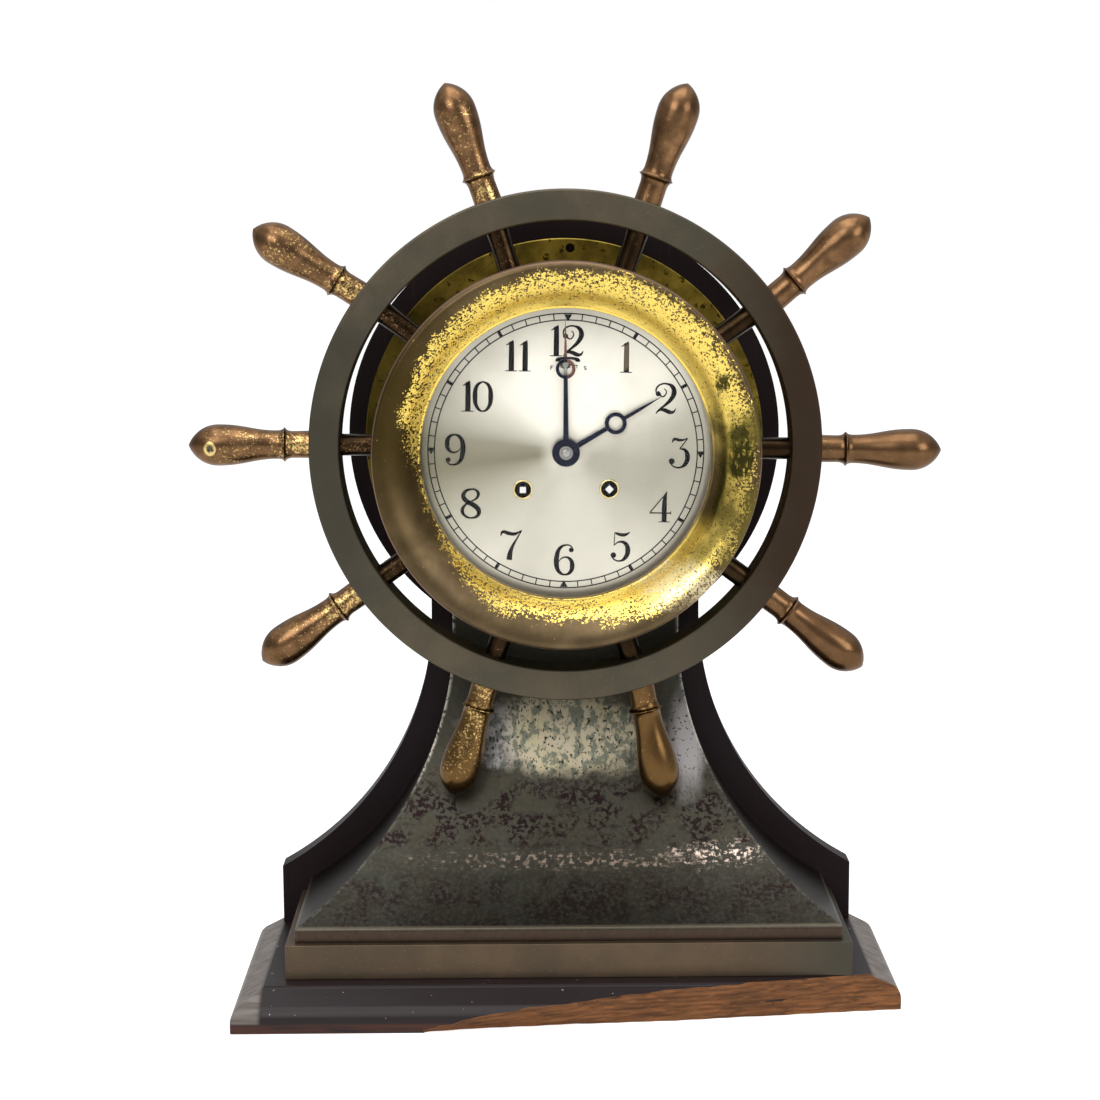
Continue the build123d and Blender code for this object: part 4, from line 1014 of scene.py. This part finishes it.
class CLOCK_OT_pedestal(bpy.types.Operator):
    """Add the foot band and the mitred pedestal"""
    bl_idname = "clock.pedestal"
    bl_label = "Pedestal and foot band"

    def execute(self, context):
        s = sizes()
        low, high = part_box("foot_band")
        band = stack([(high[0], low[1], low[2]), (high[0], low[1], high[2])], high[1])
        soften(band, s.metal_edge, 3)
        smooth(band)
        hand_over(band, "foot_band_casting", STAND, "band_bronze", material("band"), "foot_band")

        low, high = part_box("pedestal")
        half, front, back = high[0], low[1], high[1]
        foot_z = low[2] + PEDESTAL_STEP * MM
        stations = [(half, front, low[2]), (half, front, foot_z)]
        for x, z in flare_points(half, foot_z, PEDESTAL_NECK * MM, PEDESTAL_FLARE * MM, 40):
            stations.append((x, front + half - x, z))
        stations.append((stations[-1][0], stations[-1][1], high[2]))
        piece = stack(stations, back)
        soften(piece, s.metal_edge, 3, math.radians(30))
        drum = rod((DRUM + SLACK) * MM, -0.02, 0.08, 192)
        settle(drum, facing())
        cut(piece, drum)
        flange = rod((FLANGE + SLACK) * MM, -0.02, (FLANGE_THICK + SLACK) * MM, 192)
        settle(flange, facing())
        cut(piece, flange)
        smooth(piece)
        hand_over(piece, "pedestal_casting", STAND, "pedestal_bronze", material("pedestal"),
                "pedestal")
        return {"FINISHED"}


# How far each handle leans clockwise on its bent stud, in degrees, from three o'clock back
HANDLE_LEAN = (0.2, -5.1, 0.0, -2.6, -4.7, -0.9, 0.1, -2.0, 5.3, 0.5)
# The dent in the left handle: how far out and how far up it is, and its ball's size and depth
DENT_REACH, DENT_RISE, DENT_BALL, DENT_DEPTH = 0.1892, -0.0012, 0.0034, 0.0014


class CLOCK_OT_wheel(bpy.types.Operator):
    """Add the wheel's rim, spokes and handles"""
    bl_idname = "clock.wheel"
    bl_label = "Wheel"

    def execute(self, context):
        s = sizes()
        outer = (RIM_HIGH[0] - RIM_LOW[0]) / 2
        inner = outer - s.rim_width
        front, back = BOARD_FRONT - RIM_LOW[1], BOARD_FRONT - RIM_HIGH[1]
        edge = s.rim_edge
        profile = []
        corners = ((outer - edge, back + edge, -90), (outer - edge, front - edge, 0),
                (inner + edge, front - edge, 90), (inner + edge, back + edge, 180))
        for r, h, begin in corners:
            profile += arc((r, h), edge, math.radians(begin), math.radians(begin + 90), 4)
        profile.append(profile[0])
        rim = settle(turn(profile, s.ring_segments), facing())
        smooth(rim)
        hand_over(rim, "wheel_rim_casting", STAND, "rim_bronze", material("rim"), "wheel_rim")

        start, end = (DRUM + SLACK / 2) * MM, inner + 2 * MM
        spoke = rod(s.spoke_radius, start, end, 40)
        smooth(spoke)
        handle = turn(self.handle_profile(outer, s.grip_radius), 56)
        smooth(handle, math.radians(45))
        for n in range(10):
            for model, kind, slot, key in ((spoke, "spoke", "spoke_brass", "spoke"),
                    (handle, "handle", "handle_brass", "handle")):
                lean = math.radians(HANDLE_LEAN[n]) if kind == "handle" else 0.0
                piece = settle(copy_of(model), along_spoke(n, outer, lean))
                name = "%s_%02d" % (kind, n + 1)
                if name == "handle_06":
                    self.dent(piece, along_spoke(n, outer, lean))
                    key = "dented"
                hand_over(piece, name + "_turned", STAND, slot, material(key), name)
        for model in (spoke, handle):
            bpy.data.objects.remove(model, do_unlink=True)
        return {"FINISHED"}

    def dent(self, piece, matrix):
        """Sinks a ball into the front of a handle."""
        clear_selection()
        front = sizes().grip_radius + DENT_BALL - DENT_DEPTH
        bpy.ops.mesh.primitive_uv_sphere_add(segments=40, ring_count=24, radius=DENT_BALL,
                location=(DENT_RISE, -front, DENT_REACH))
        ball = settle(bpy.context.active_object, matrix)
        cut(piece, ball)
        smooth(piece, math.radians(45))

    def handle_profile(self, start, grip):
        """Ferrule, collar and grip, from the rim out to the tip."""
        ferrule, neck, collar = 7.35 * MM, 7.65 * MM, 9.2 * MM
        ridge = start + 13.5 * MM
        waist = ridge + 4.2 * MM
        belly = start + 49.1 * MM
        tip = start + 65 * MM
        sunk = start - 1 * MM
        points = [(0, sunk), (ferrule, sunk), (ferrule - 0.15 * MM, ridge - 4.5 * MM)]
        points += bezier(points[-1], (ferrule, ridge - 1.6 * MM),
                (ferrule + 0.7 * MM, ridge - 0.9 * MM), (collar - 0.25 * MM, ridge - 0.35 * MM), 6)
        points += [(collar, ridge - 0.1 * MM), (collar, ridge + 0.2 * MM)]
        points += bezier(points[-1], (collar - 0.9 * MM, ridge + 0.6 * MM),
                (neck, ridge + 1.9 * MM), (neck, waist), 8)
        run = belly - waist
        points += bezier((neck, waist), (neck + 0.1 * MM, waist + 0.4 * run),
                (grip, belly - 0.45 * run), (grip, belly), 18)
        points += bezier((grip, belly), (grip, belly + 0.55 * (tip - belly)),
                (0.42 * grip, tip - 1.6 * MM), (0, tip), 14)
        return points


class CLOCK_OT_case(bpy.types.Operator):
    """Add the drum, the bezel and the glass"""
    bl_idname = "clock.case"
    bl_label = "Case, bezel and glass"

    def execute(self, context):
        count = sizes().ring_segments
        drum_r, bore = DRUM * MM, 90 * MM
        depth = 74.6 * MM
        flange, thick = FLANGE * MM, FLANGE_THICK * MM
        edge = 0.5 * MM
        profile = [(0, 0), (flange - edge, 0), (flange, edge), (flange, thick - edge),
                (flange - edge, thick), (drum_r + edge, thick), (drum_r, thick + edge),
                (drum_r, depth - 4.2 * MM), (drum_r + 1.4 * MM, depth - 4 * MM),
                (drum_r + 1.5 * MM, depth - edge), (drum_r + 1.2 * MM, depth), (bore, depth),
                (bore, thick), (0, thick)]
        drum = settle(turn(profile, count), facing())
        hole = rod(2.5 * MM, -0.02, 0.02, 32)
        hole_angle = math.radians(88)
        settle(hole, facing() @ Matrix.Translation((104.5 * MM * math.cos(hole_angle),
                104.5 * MM * math.sin(hole_angle), 0)))
        cut(drum, hole)
        smooth(drum)
        hand_over(drum, "case_drum_turned", STAND, "case_brass", material("case"), "case_drum")

        opening, land, crest_depth = 76.2 * MM, 83.9 * MM, 99.5 * MM
        lip, back = 100.9 * MM, 74.9 * MM
        crest_r = lip - 3.6 * MM
        profile = [(opening, land - 1.7 * MM), (opening, land - 0.2 * MM)]
        profile += [(opening + 0.2 * MM, land), (opening + 1.1 * MM, land + 0.25 * MM)]
        profile += bezier((opening + 1.1 * MM, land + 0.25 * MM),
                (opening + 5 * MM, land + 6.6 * MM), (crest_r - 8 * MM, crest_depth - 0.6 * MM),
                (crest_r, crest_depth), 24)
        profile += bezier((crest_r, crest_depth), (lip - 1.2 * MM, crest_depth + 0.1 * MM),
                (lip, crest_depth - 1.2 * MM), (lip, crest_depth - 3.6 * MM), 8)
        profile += [(lip, crest_depth - 10.6 * MM)]
        profile += bezier((lip, crest_depth - 10.6 * MM), (lip, crest_depth - 17 * MM),
                (96.5 * MM, back + 5 * MM), (96.5 * MM, back + 1.6 * MM), 8)
        profile += [(96.5 * MM, back), (bore, back), (bore, land - 3.4 * MM),
                (80.3 * MM, land - 3.4 * MM), (80.3 * MM, land - 1.7 * MM),
                (opening, land - 1.7 * MM)]
        bezel = settle(turn(profile, count), facing())
        smooth(bezel, math.radians(28))
        hand_over(bezel, "bezel_ring", DOOR, "bezel_brass", material("bezel"), "bezel")

        front = land - 1.8 * MM
        glass = turn([(0, front - 2 * MM), (79.7 * MM, front - 2 * MM),
                (80 * MM, front - 1.7 * MM), (80 * MM, front - 0.3 * MM), (79.7 * MM, front),
                (0, front)], count)
        settle(glass, facing())
        smooth(glass)
        hand_over(glass, "crystal_pane", DOOR, "crystal_glass", material("glass"), "crystal")
        return {"FINISHED"}


# Each numeral's strokes in millimetres about its middle: (x, y, width) along each stroke
ONE = [[(0.3, 7.4, 2.5), (0.3, 0, 2.8), (0.3, -7.9, 2.8)],
       [(-2.6, 5.5, 0.4), (-0.6, 6.5, 1.0), (1.3, 8.1, 0.6)], [(-2.9, -7.9, 0.5), (3.3, -7.9, 0.5)]]
SIX = [[(4.4, 5.6, 0.5), (3.4, 7.3, 0.7), (0.8, 8.0, 0.9), (-2.6, 6.2, 1.8), (-4.1, 1.8, 2.6),
        (-4.2, -2.6, 2.7), (-2.8, -6.4, 1.9), (0.2, -7.9, 0.9), (3.2, -6.4, 1.9),
        (4.1, -3.2, 2.6), (3.2, 0.1, 1.8), (0.6, 1.5, 0.9), (-2.0, 0.4, 0.6), (-3.4, -1.8, 0.5)]]
NUMERALS = {
    "0": [[(0, 7.8, 0.8), (-2.8, 6.0, 1.7), (-4.1, 0, 2.7), (-2.8, -6.0, 1.7), (0, -7.8, 0.8),
           (2.8, -6.0, 1.7), (4.1, 0, 2.7), (2.8, 6.0, 1.7), (0, 7.8, 0.8)]],
    "1": ONE,
    "2": [[(-5.2, 3.3, 0.7), (-4.6, 5.8, 0.9), (-2.2, 7.6, 0.8), (0.8, 7.7, 1.0), (3.6, 6.1, 2.2),
           (4.4, 3.1, 2.7), (2.8, -0.4, 2.1), (-0.4, -3.6, 1.3), (-3.2, -5.9, 0.9),
           (-4.9, -8.0, 0.6)],
          [(-4.6, -7.3, 0.6), (-2.6, -5.9, 1.4), (-0.2, -6.1, 2.1), (2.2, -7.1, 2.2),
           (4.2, -7.0, 1.3), (5.5, -5.2, 0.4)],
          [(-3.4, 2.3, 1.0), (-1.5, 1.0, 0.7), (0.0, 2.2, 0.7), (0.2, 4.2, 0.6), (-0.9, 5.2, 0.5)]],
    "3": [[(-3.6, 5.3, 0.4), (-2.6, 7.0, 1.5), (0.4, 6.6, 1.5), (2.8, 6.9, 0.9), (4.6, 7.7, 0.5)],
          [(4.5, 7.5, 0.5), (2.6, 4.9, 0.6), (0.5, 2.0, 0.7)],
          [(0.4, 2.0, 0.5), (3.0, 1.6, 1.4), (4.6, -1.4, 2.6), (4.0, -5.2, 2.3), (1.2, -7.7, 1.0),
           (-2.4, -7.4, 0.8), (-4.5, -5.4, 0.6)]],
    "4": [[(3.4, 8.0, 0.6), (-1.0, 2.5, 0.6), (-5.5, -3.0, 0.6)],
          [(-5.6, -3.2, 0.7), (5.5, -3.2, 0.7)],
          [(5.5, -3.9, 0.5), (5.5, -2.2, 0.5)],
          [(3.1, 7.9, 0.6), (2.3, 4.6, 2.1), (2.1, 0, 2.6), (2.1, -7.8, 2.6)],
          [(-0.8, -7.9, 0.5), (5.0, -7.9, 0.5)]],
    "5": [[(-3.0, 7.5, 0.5), (-1.6, 6.8, 1.5), (1.6, 6.2, 1.9), (3.6, 6.8, 1.2), (5.0, 7.8, 0.4)],
          [(-3.0, 7.4, 0.5), (-3.3, 0.5, 0.5)],
          [(-3.3, 0.6, 0.4), (-0.8, 2.4, 0.9), (2.6, 1.7, 2.0), (4.0, -1.8, 2.7),
           (3.0, -5.6, 2.2), (0.2, -7.7, 1.0), (-2.8, -7.2, 0.8), (-4.5, -5.4, 0.6)]],
    "6": SIX,
    "7": [[(-5.6, 4.7, 0.4), (-4.5, 6.9, 1.6), (-1.6, 6.3, 2.1), (1.6, 5.9, 1.8), (4.2, 7.0, 1.0),
           (5.6, 7.9, 0.5)],
          [(5.5, 7.7, 0.5), (2.7, 2.9, 0.9), (0.4, -1.6, 1.8), (-0.6, -5.2, 2.7),
           (-0.9, -8.0, 3.0)]],
    "8": [[(0.2, 7.7, 0.9), (-3.0, 6.4, 1.7), (-4.1, 3.8, 2.3), (-2.4, 1.2, 2.5), (1.4, -0.9, 2.6),
           (3.9, -3.4, 2.6), (3.9, -5.9, 1.9), (0.6, -7.7, 0.9), (-3.4, -6.4, 1.4),
           (-4.6, -3.8, 2.0), (-3.2, -1.0, 1.2), (0.2, 1.1, 0.7), (3.2, 3.2, 1.3),
           (3.7, 5.6, 1.7), (2.3, 7.2, 1.1), (0.2, 7.7, 0.9)]],
    "9": [[(-x, -y, w) for x, y, w in SIX[0]]],
    "F": [[(-0.4, 1.0, 0.55), (-0.4, -1.0, 0.55)], [(-0.5, 0.9, 0.35), (0.8, 0.9, 0.35)],
          [(-0.5, 0.1, 0.3), (0.5, 0.1, 0.3)]],
    "S": [[(0.6, 0.8, 0.35), (-0.4, 0.8, 0.45), (-0.4, 0.15, 0.5), (0.4, -0.15, 0.5),
           (0.4, -0.8, 0.45), (-0.6, -0.8, 0.35)]],
}
# Ball ends: middle and radius
BALLS = {"2": (-3.9, 2.5, 1.35), "3": (-3.6, -4.6, 1.55), "5": (-3.6, -4.7, 1.5),
         "6": (3.5, 5.4, 1.3), "9": (-3.5, -5.4, 1.3)}
# The hours' places on the dial in millimetres
HOURS = {"12": (0.6, 58.3), "1": (30.6, 50.2), "2": (51.8, 28.8), "3": (59.4, 0.4),
         "4": (50.4, -28.6), "5": (29.6, -50.0), "6": (0.2, -57.6), "7": (-28.2, -50.0),
         "8": (-49.6, -28.1), "9": (-58.4, 0.3), "10": (-46.8, 28.6), "11": (-25.4, 50.1)}
PAIRS = {"10": (("1", -5.3), ("0", 2.8)), "11": (("1", -4.2), ("1", 3.0)),
         "12": (("1", -6.8), ("2", 2.1))}


def ribbon(stroke, at, lift):
    """A flat stroke of changing width, as a mesh in the dial's own frame."""
    clear_selection()
    bpy.ops.curve.primitive_bezier_curve_add()
    curve = bpy.context.active_object
    spline = curve.data.splines[0]
    spline.bezier_points.add(len(stroke) - 2)
    for point, (x, y, width) in zip(spline.bezier_points, stroke):
        point.co = ((at[0] + x) * MM, (at[1] + y) * MM, lift)
        point.handle_left_type = point.handle_right_type = "AUTO"
        point.radius = width * sizes().stroke_share
        point.tilt = math.pi / 2
    curve.data.extrude = 0.5 * MM
    curve.data.resolution_u = 10
    curve.data.twist_mode = "Z_UP"
    bpy.ops.object.convert(target="MESH")
    return bpy.context.active_object


def disc(x, y, radius, lift, count=28):
    clear_selection()
    bpy.ops.mesh.primitive_circle_add(vertices=count, radius=radius * MM, fill_type="NGON",
            location=(x * MM, y * MM, lift))
    return bpy.context.active_object


def join(pieces):
    clear_selection()
    for piece in pieces:
        piece.select_set(True)
    bpy.context.view_layer.objects.active = pieces[0]
    bpy.ops.object.transform_apply(location=True, rotation=True, scale=True)
    bpy.ops.object.join()
    return bpy.context.active_object


class CLOCK_OT_dial(bpy.types.Operator):
    """Add the numerals, the minute track and the small marks"""
    bl_idname = "clock.dial"
    bl_label = "Dial markings"

    def execute(self, context):
        lift = 69.03 * MM
        for hour, (x, y) in HOURS.items():
            parts = []
            for digit, shift in PAIRS.get(hour, ((hour, 0.0),)):
                parts += self.digit(digit, x + shift, y, lift)
            self.give(join(parts), "numeral_" + hour)
        self.give(join(self.digit("F", -8.2, 44.2, lift) + self.digit("S", 9.4, 44.2, lift)),
                "slow_fast_marks")
        crescent = [(-6.4, -0.9, 0.8), (-5.2, -0.2, 2.3), (-3.4, 0.5, 1.5), (0, 0.7, 1.2),
                (3.4, 0.5, 1.5), (5.2, -0.2, 2.3), (6.4, -0.9, 0.8)]
        scale = [ribbon([(-5.2, 0, 0.5), (0, 0.3, 0.5), (5.2, 0, 0.5)], (0.2, 45.5), lift)]
        for n in range(9):
            tick = [(0, 0, 0.36), (0, -1.5, 0.3)]
            scale.append(ribbon(tick, (0.2 + (n - 4) * 1.2, 45.5), lift))
        self.give(join([ribbon(crescent, (0.2, 48.6), lift)] + scale), "regulator_scale")
        self.track(lift)
        return {"FINISHED"}

    def digit(self, digit, x, y, lift):
        parts = [ribbon(stroke, (x, y), lift) for stroke in NUMERALS[digit]]
        if digit in BALLS:
            bx, by, radius = BALLS[digit]
            parts.append(disc(x + bx, y + by, radius, lift))
        return parts

    def give(self, piece, name):
        apply_modifier(piece, "SOLIDIFY", thickness=0.04 * MM, offset=1.0)
        settle(piece, facing(turned=sizes().dial_turn))
        outwards(piece)
        hand_over(piece, name, STAND, "hand_steel", material("ink"))

    def track(self, lift):
        outer = sizes().track_radius
        inner = outer - 3.4 * MM
        line = 0.66 * MM
        count = sizes().ring_segments
        parts = []
        for radius in (outer, inner):
            parts.append(turn([(radius - line, lift), (radius, lift)], count))
        for n in range(60):
            hour = n % 5 == 0
            if n % 15 == 0:
                parts.append(self.pointer(n // 15, (outer + inner - line) / 2, lift))
                continue
            width = 1.8 * MM if hour else 0.6 * MM
            clear_selection()
            bpy.ops.mesh.primitive_plane_add(size=1)
            bar = bpy.context.active_object
            bar.matrix_world = (Matrix.Rotation(-n * math.pi / 30, 4, "Z")
                    @ Matrix.Translation((0, (outer + inner - line) / 2, lift))
                    @ Matrix.Diagonal((width, outer - inner, 1, 1)))
            parts.append(bar)
        self.give(join(parts), "minute_track")

    def pointer(self, quarter, radius, lift):
        """A small triangle: apex inwards at 12 and 6, and down at 3 and 9."""
        angle = -quarter * math.pi / 2
        x, y = -radius * math.sin(angle), radius * math.cos(angle)
        clear_selection()
        bpy.ops.mesh.primitive_circle_add(vertices=3, radius=2.45 * MM, fill_type="NGON",
                location=(x, y, lift), rotation=(0, 0, 0 if quarter == 2 else math.pi))
        return bpy.context.active_object


class CLOCK_OT_small_work(bpy.types.Operator):
    """Add the hand nut and the eyelets, and dress what stays of the frame"""
    bl_idname = "clock.small_work"
    bl_label = "Small work"

    def execute(self, context):
        top = 74.4 * MM
        nut = turn([(0, top - 0.4 * MM), (3.6 * MM, top - 0.4 * MM), (3.7 * MM, top + 0.7 * MM),
                (3.4 * MM, top + 1.05 * MM), (2.7 * MM, top + 1.05 * MM),
                (2.35 * MM, top + 0.6 * MM), (1.9 * MM, top + 0.6 * MM),
                (1.75 * MM, top + 1.4 * MM), (1.1 * MM, top + 1.75 * MM), (0, top + 1.8 * MM)], 48)
        settle(nut, facing())
        smooth(nut, math.radians(40))
        hand_over(nut, "hand_nut_turned", "minute_train", "steel", material("steel"), "hand_nut")
        eyelets = []
        for side in (-1, 1):
            mid, rise = 4.7 * MM, 69.0 * MM
            ring = [(mid + 0.5 * MM * math.cos(a), rise + 0.5 * MM * math.sin(a))
                    for a in (math.radians(d) for d in range(0, 361, 30))]
            eyelet = turn(ring, 48)
            settle(eyelet, facing() @ Matrix.Translation((side * WINDING_X * MM, WINDING_Z * MM,
                    0)))
            eyelets.append(eyelet)
        pair = join(eyelets)
        smooth(pair, math.radians(60))
        hand_over(pair, "winding_eyelets", STAND, "grommet_brass", material("grommet"),
                "winding_grommets")
        self.dress()
        return {"FINISHED"}

    def dress(self):
        """Finishes for the nodes that stay as the frame made them."""
        finishes = {"dial_silver": "dial", "hand_steel": "hands", "steel": "steel",
                    "steel_screw": "steel", "brass_screw": "case", "movement_brass": "brass",
                    "bell_metal": "bell", "grommet_brass": "grommet", "case_brass": "case"}
        slots = {entry["node"]: entry["material_slot"] for entry in frame["record"]["subparts"]}
        for name, node in frame["nodes"].items():
            key = finishes.get(slots.get(name))
            if name in ("time_arbor", "strike_arbor"):
                key = "arbor"
            if key:
                for slot in node.material_slots:
                    slot.material = material(key)


# The stage

CAMERA_AT = (-0.0162, -1.283898, 0.445380)
CAMERA_YAW, CAMERA_PITCH, CAMERA_ROLL = -0.0059275, 0.1558596, -0.0058669
FOCAL_SHARE = 2427.77 / 1100


class CLOCK_OT_stage(bpy.types.Operator):
    """Add the camera, the lamps, the floor and the world"""
    bl_idname = "clock.stage"
    bl_label = "Stage"

    def execute(self, context):
        scene = context.scene
        scene.view_settings.view_transform = "Standard"
        self.camera(scene)
        self.floor()
        self.world(scene)
        lamp_list = (("key", (-0.9, -1.7, 1.5), 1.2, 16.0), ("right", (1.3, -1.2, 0.9), 0.9, 9.0),
                ("top", (0.0, -0.3, 1.9), 1.4, 12.0))
        for name, at, size, power in lamp_list:
            self.lamp(name, at, size, power)
        return {"FINISHED"}

    def camera(self, scene):
        yaw, pitch, roll = CAMERA_YAW, CAMERA_PITCH, CAMERA_ROLL
        ahead = Vector((-math.sin(yaw) * math.cos(pitch), math.cos(yaw) * math.cos(pitch),
                -math.sin(pitch)))
        right = Vector((math.cos(yaw), math.sin(yaw), 0))
        up = right.cross(ahead)
        side = right * math.cos(roll) + up * math.sin(roll)
        top = -right * math.sin(roll) + up * math.cos(roll)
        data = bpy.data.cameras.new("photo_camera")
        data.sensor_width = 36
        data.lens = 36 * FOCAL_SHARE
        data.clip_start, data.clip_end = 0.05, 20
        camera = bpy.data.objects.new("photo_camera", data)
        scene.collection.objects.link(camera)
        camera.matrix_world = Matrix.Translation(CAMERA_AT) @ Matrix((side, top,
                -ahead)).transposed().to_4x4()
        scene.camera = camera

    def floor(self):
        clear_selection()
        bpy.ops.mesh.primitive_plane_add(size=40, location=(0, 0, 0))
        floor = bpy.context.active_object
        floor.name = "floor"
        f = Finish("floor_white", (0.85, 0.85, 0.84), 0.0, 0.9)
        path = f.add("LightPath").outputs
        seen = f.maths("MAXIMUM", path["Is Camera Ray"], path["Is Transmission Ray"])
        level = f.scaled(path["Is Glossy Ray"], 0.25, f.scaled(seen, 0.62))
        glow = f.add("Emission", {"Color": (1, 1, 1, 1), "Strength": level})
        both = f.add("AddShader", {0: f.shader.outputs[0], 1: glow.outputs[0]})
        f.links.new(both.outputs[0], f.nodes["Material Output"].inputs["Surface"])
        floor.data.materials.append(f.material)

    def world(self, scene):
        world = bpy.data.worlds.new("studio")
        world.use_nodes = True
        scene.world = world
        f = Nodes(world.node_tree)
        path = f.add("LightPath").outputs
        seen = f.maths("MAXIMUM", path["Is Camera Ray"], path["Is Glossy Ray"])
        seen = f.maths("MAXIMUM", seen, path["Is Transmission Ray"])
        _, y, z = f.xyz(f.add("TexCoord").outputs["Generated"])
        # white behind the object and overhead, dimmer on the viewer's side of the studio, and
        # dimmer behind for reflections, so that the handles keep their dark sides
        behind = f.add("MapRange", {"Value": y, "From Min": -0.35, "From Max": 0.3, "To Min": 0.4,
                "To Max": 1.0}, interpolation_type="SMOOTHSTEP").outputs[0]
        behind = f.times(behind, f.between(path["Is Glossy Ray"], 1.0, 0.45))
        behind = f.maths("MAXIMUM", behind, 0.4)
        above = f.add("MapRange", {"Value": z, "From Min": 0.1, "From Max": 0.75, "To Min": 0.0,
                "To Max": 0.95}, interpolation_type="SMOOTHSTEP").outputs[0]
        behind = f.maths("MAXIMUM", behind, above)
        back = f.nodes["Background"]
        f.set(back, "Strength", f.times(behind, f.between(seen, 0.55, 1.0)))
        f.set(back, "Color", (1, 1, 1, 1))

    def lamp(self, name, at, size, power):
        data = bpy.data.lights.new(name, "AREA")
        data.size = size
        data.energy = power
        lamp = bpy.data.objects.new(name, data)
        bpy.context.scene.collection.objects.link(lamp)
        lamp.location = at
        aim = Vector((0, 0, 0.25)) - Vector(at)
        lamp.rotation_euler = aim.to_track_quat("-Z", "Y").to_euler()


class CLOCK_PT_panel(bpy.types.Panel):
    bl_label = "Ship Wheel Clock"
    bl_idname = "CLOCK_PT_panel"
    bl_space_type = "VIEW_3D"
    bl_region_type = "UI"
    bl_category = "Ship Wheel Clock"

    def draw(self, context):
        for step in STEPS:
            self.layout.operator(step.bl_idname)
        for settings in (context.scene.clock_sizes, context.scene.clock_colours):
            box = self.layout.box()
            for key in settings.__annotations__:
                box.prop(settings, key)


STEPS = (CLOCK_OT_stage, CLOCK_OT_plinth, CLOCK_OT_backboard, CLOCK_OT_pedestal, CLOCK_OT_wheel,
         CLOCK_OT_case, CLOCK_OT_dial, CLOCK_OT_small_work)
CLASSES = (ClockSizes, ClockColours, *STEPS, CLOCK_PT_panel)


def register():
    for item in CLASSES:
        bpy.utils.register_class(item)
    bpy.types.Scene.clock_sizes = PointerProperty(type=ClockSizes)
    bpy.types.Scene.clock_colours = PointerProperty(type=ClockColours)


def unregister():
    del bpy.types.Scene.clock_colours
    del bpy.types.Scene.clock_sizes
    for item in reversed(CLASSES):
        bpy.utils.unregister_class(item)


def main():
    register()
    for step in STEPS:
        group, name = step.bl_idname.split(".")
        getattr(getattr(bpy.ops, group), name)()


if __name__ == "__main__":
    main()
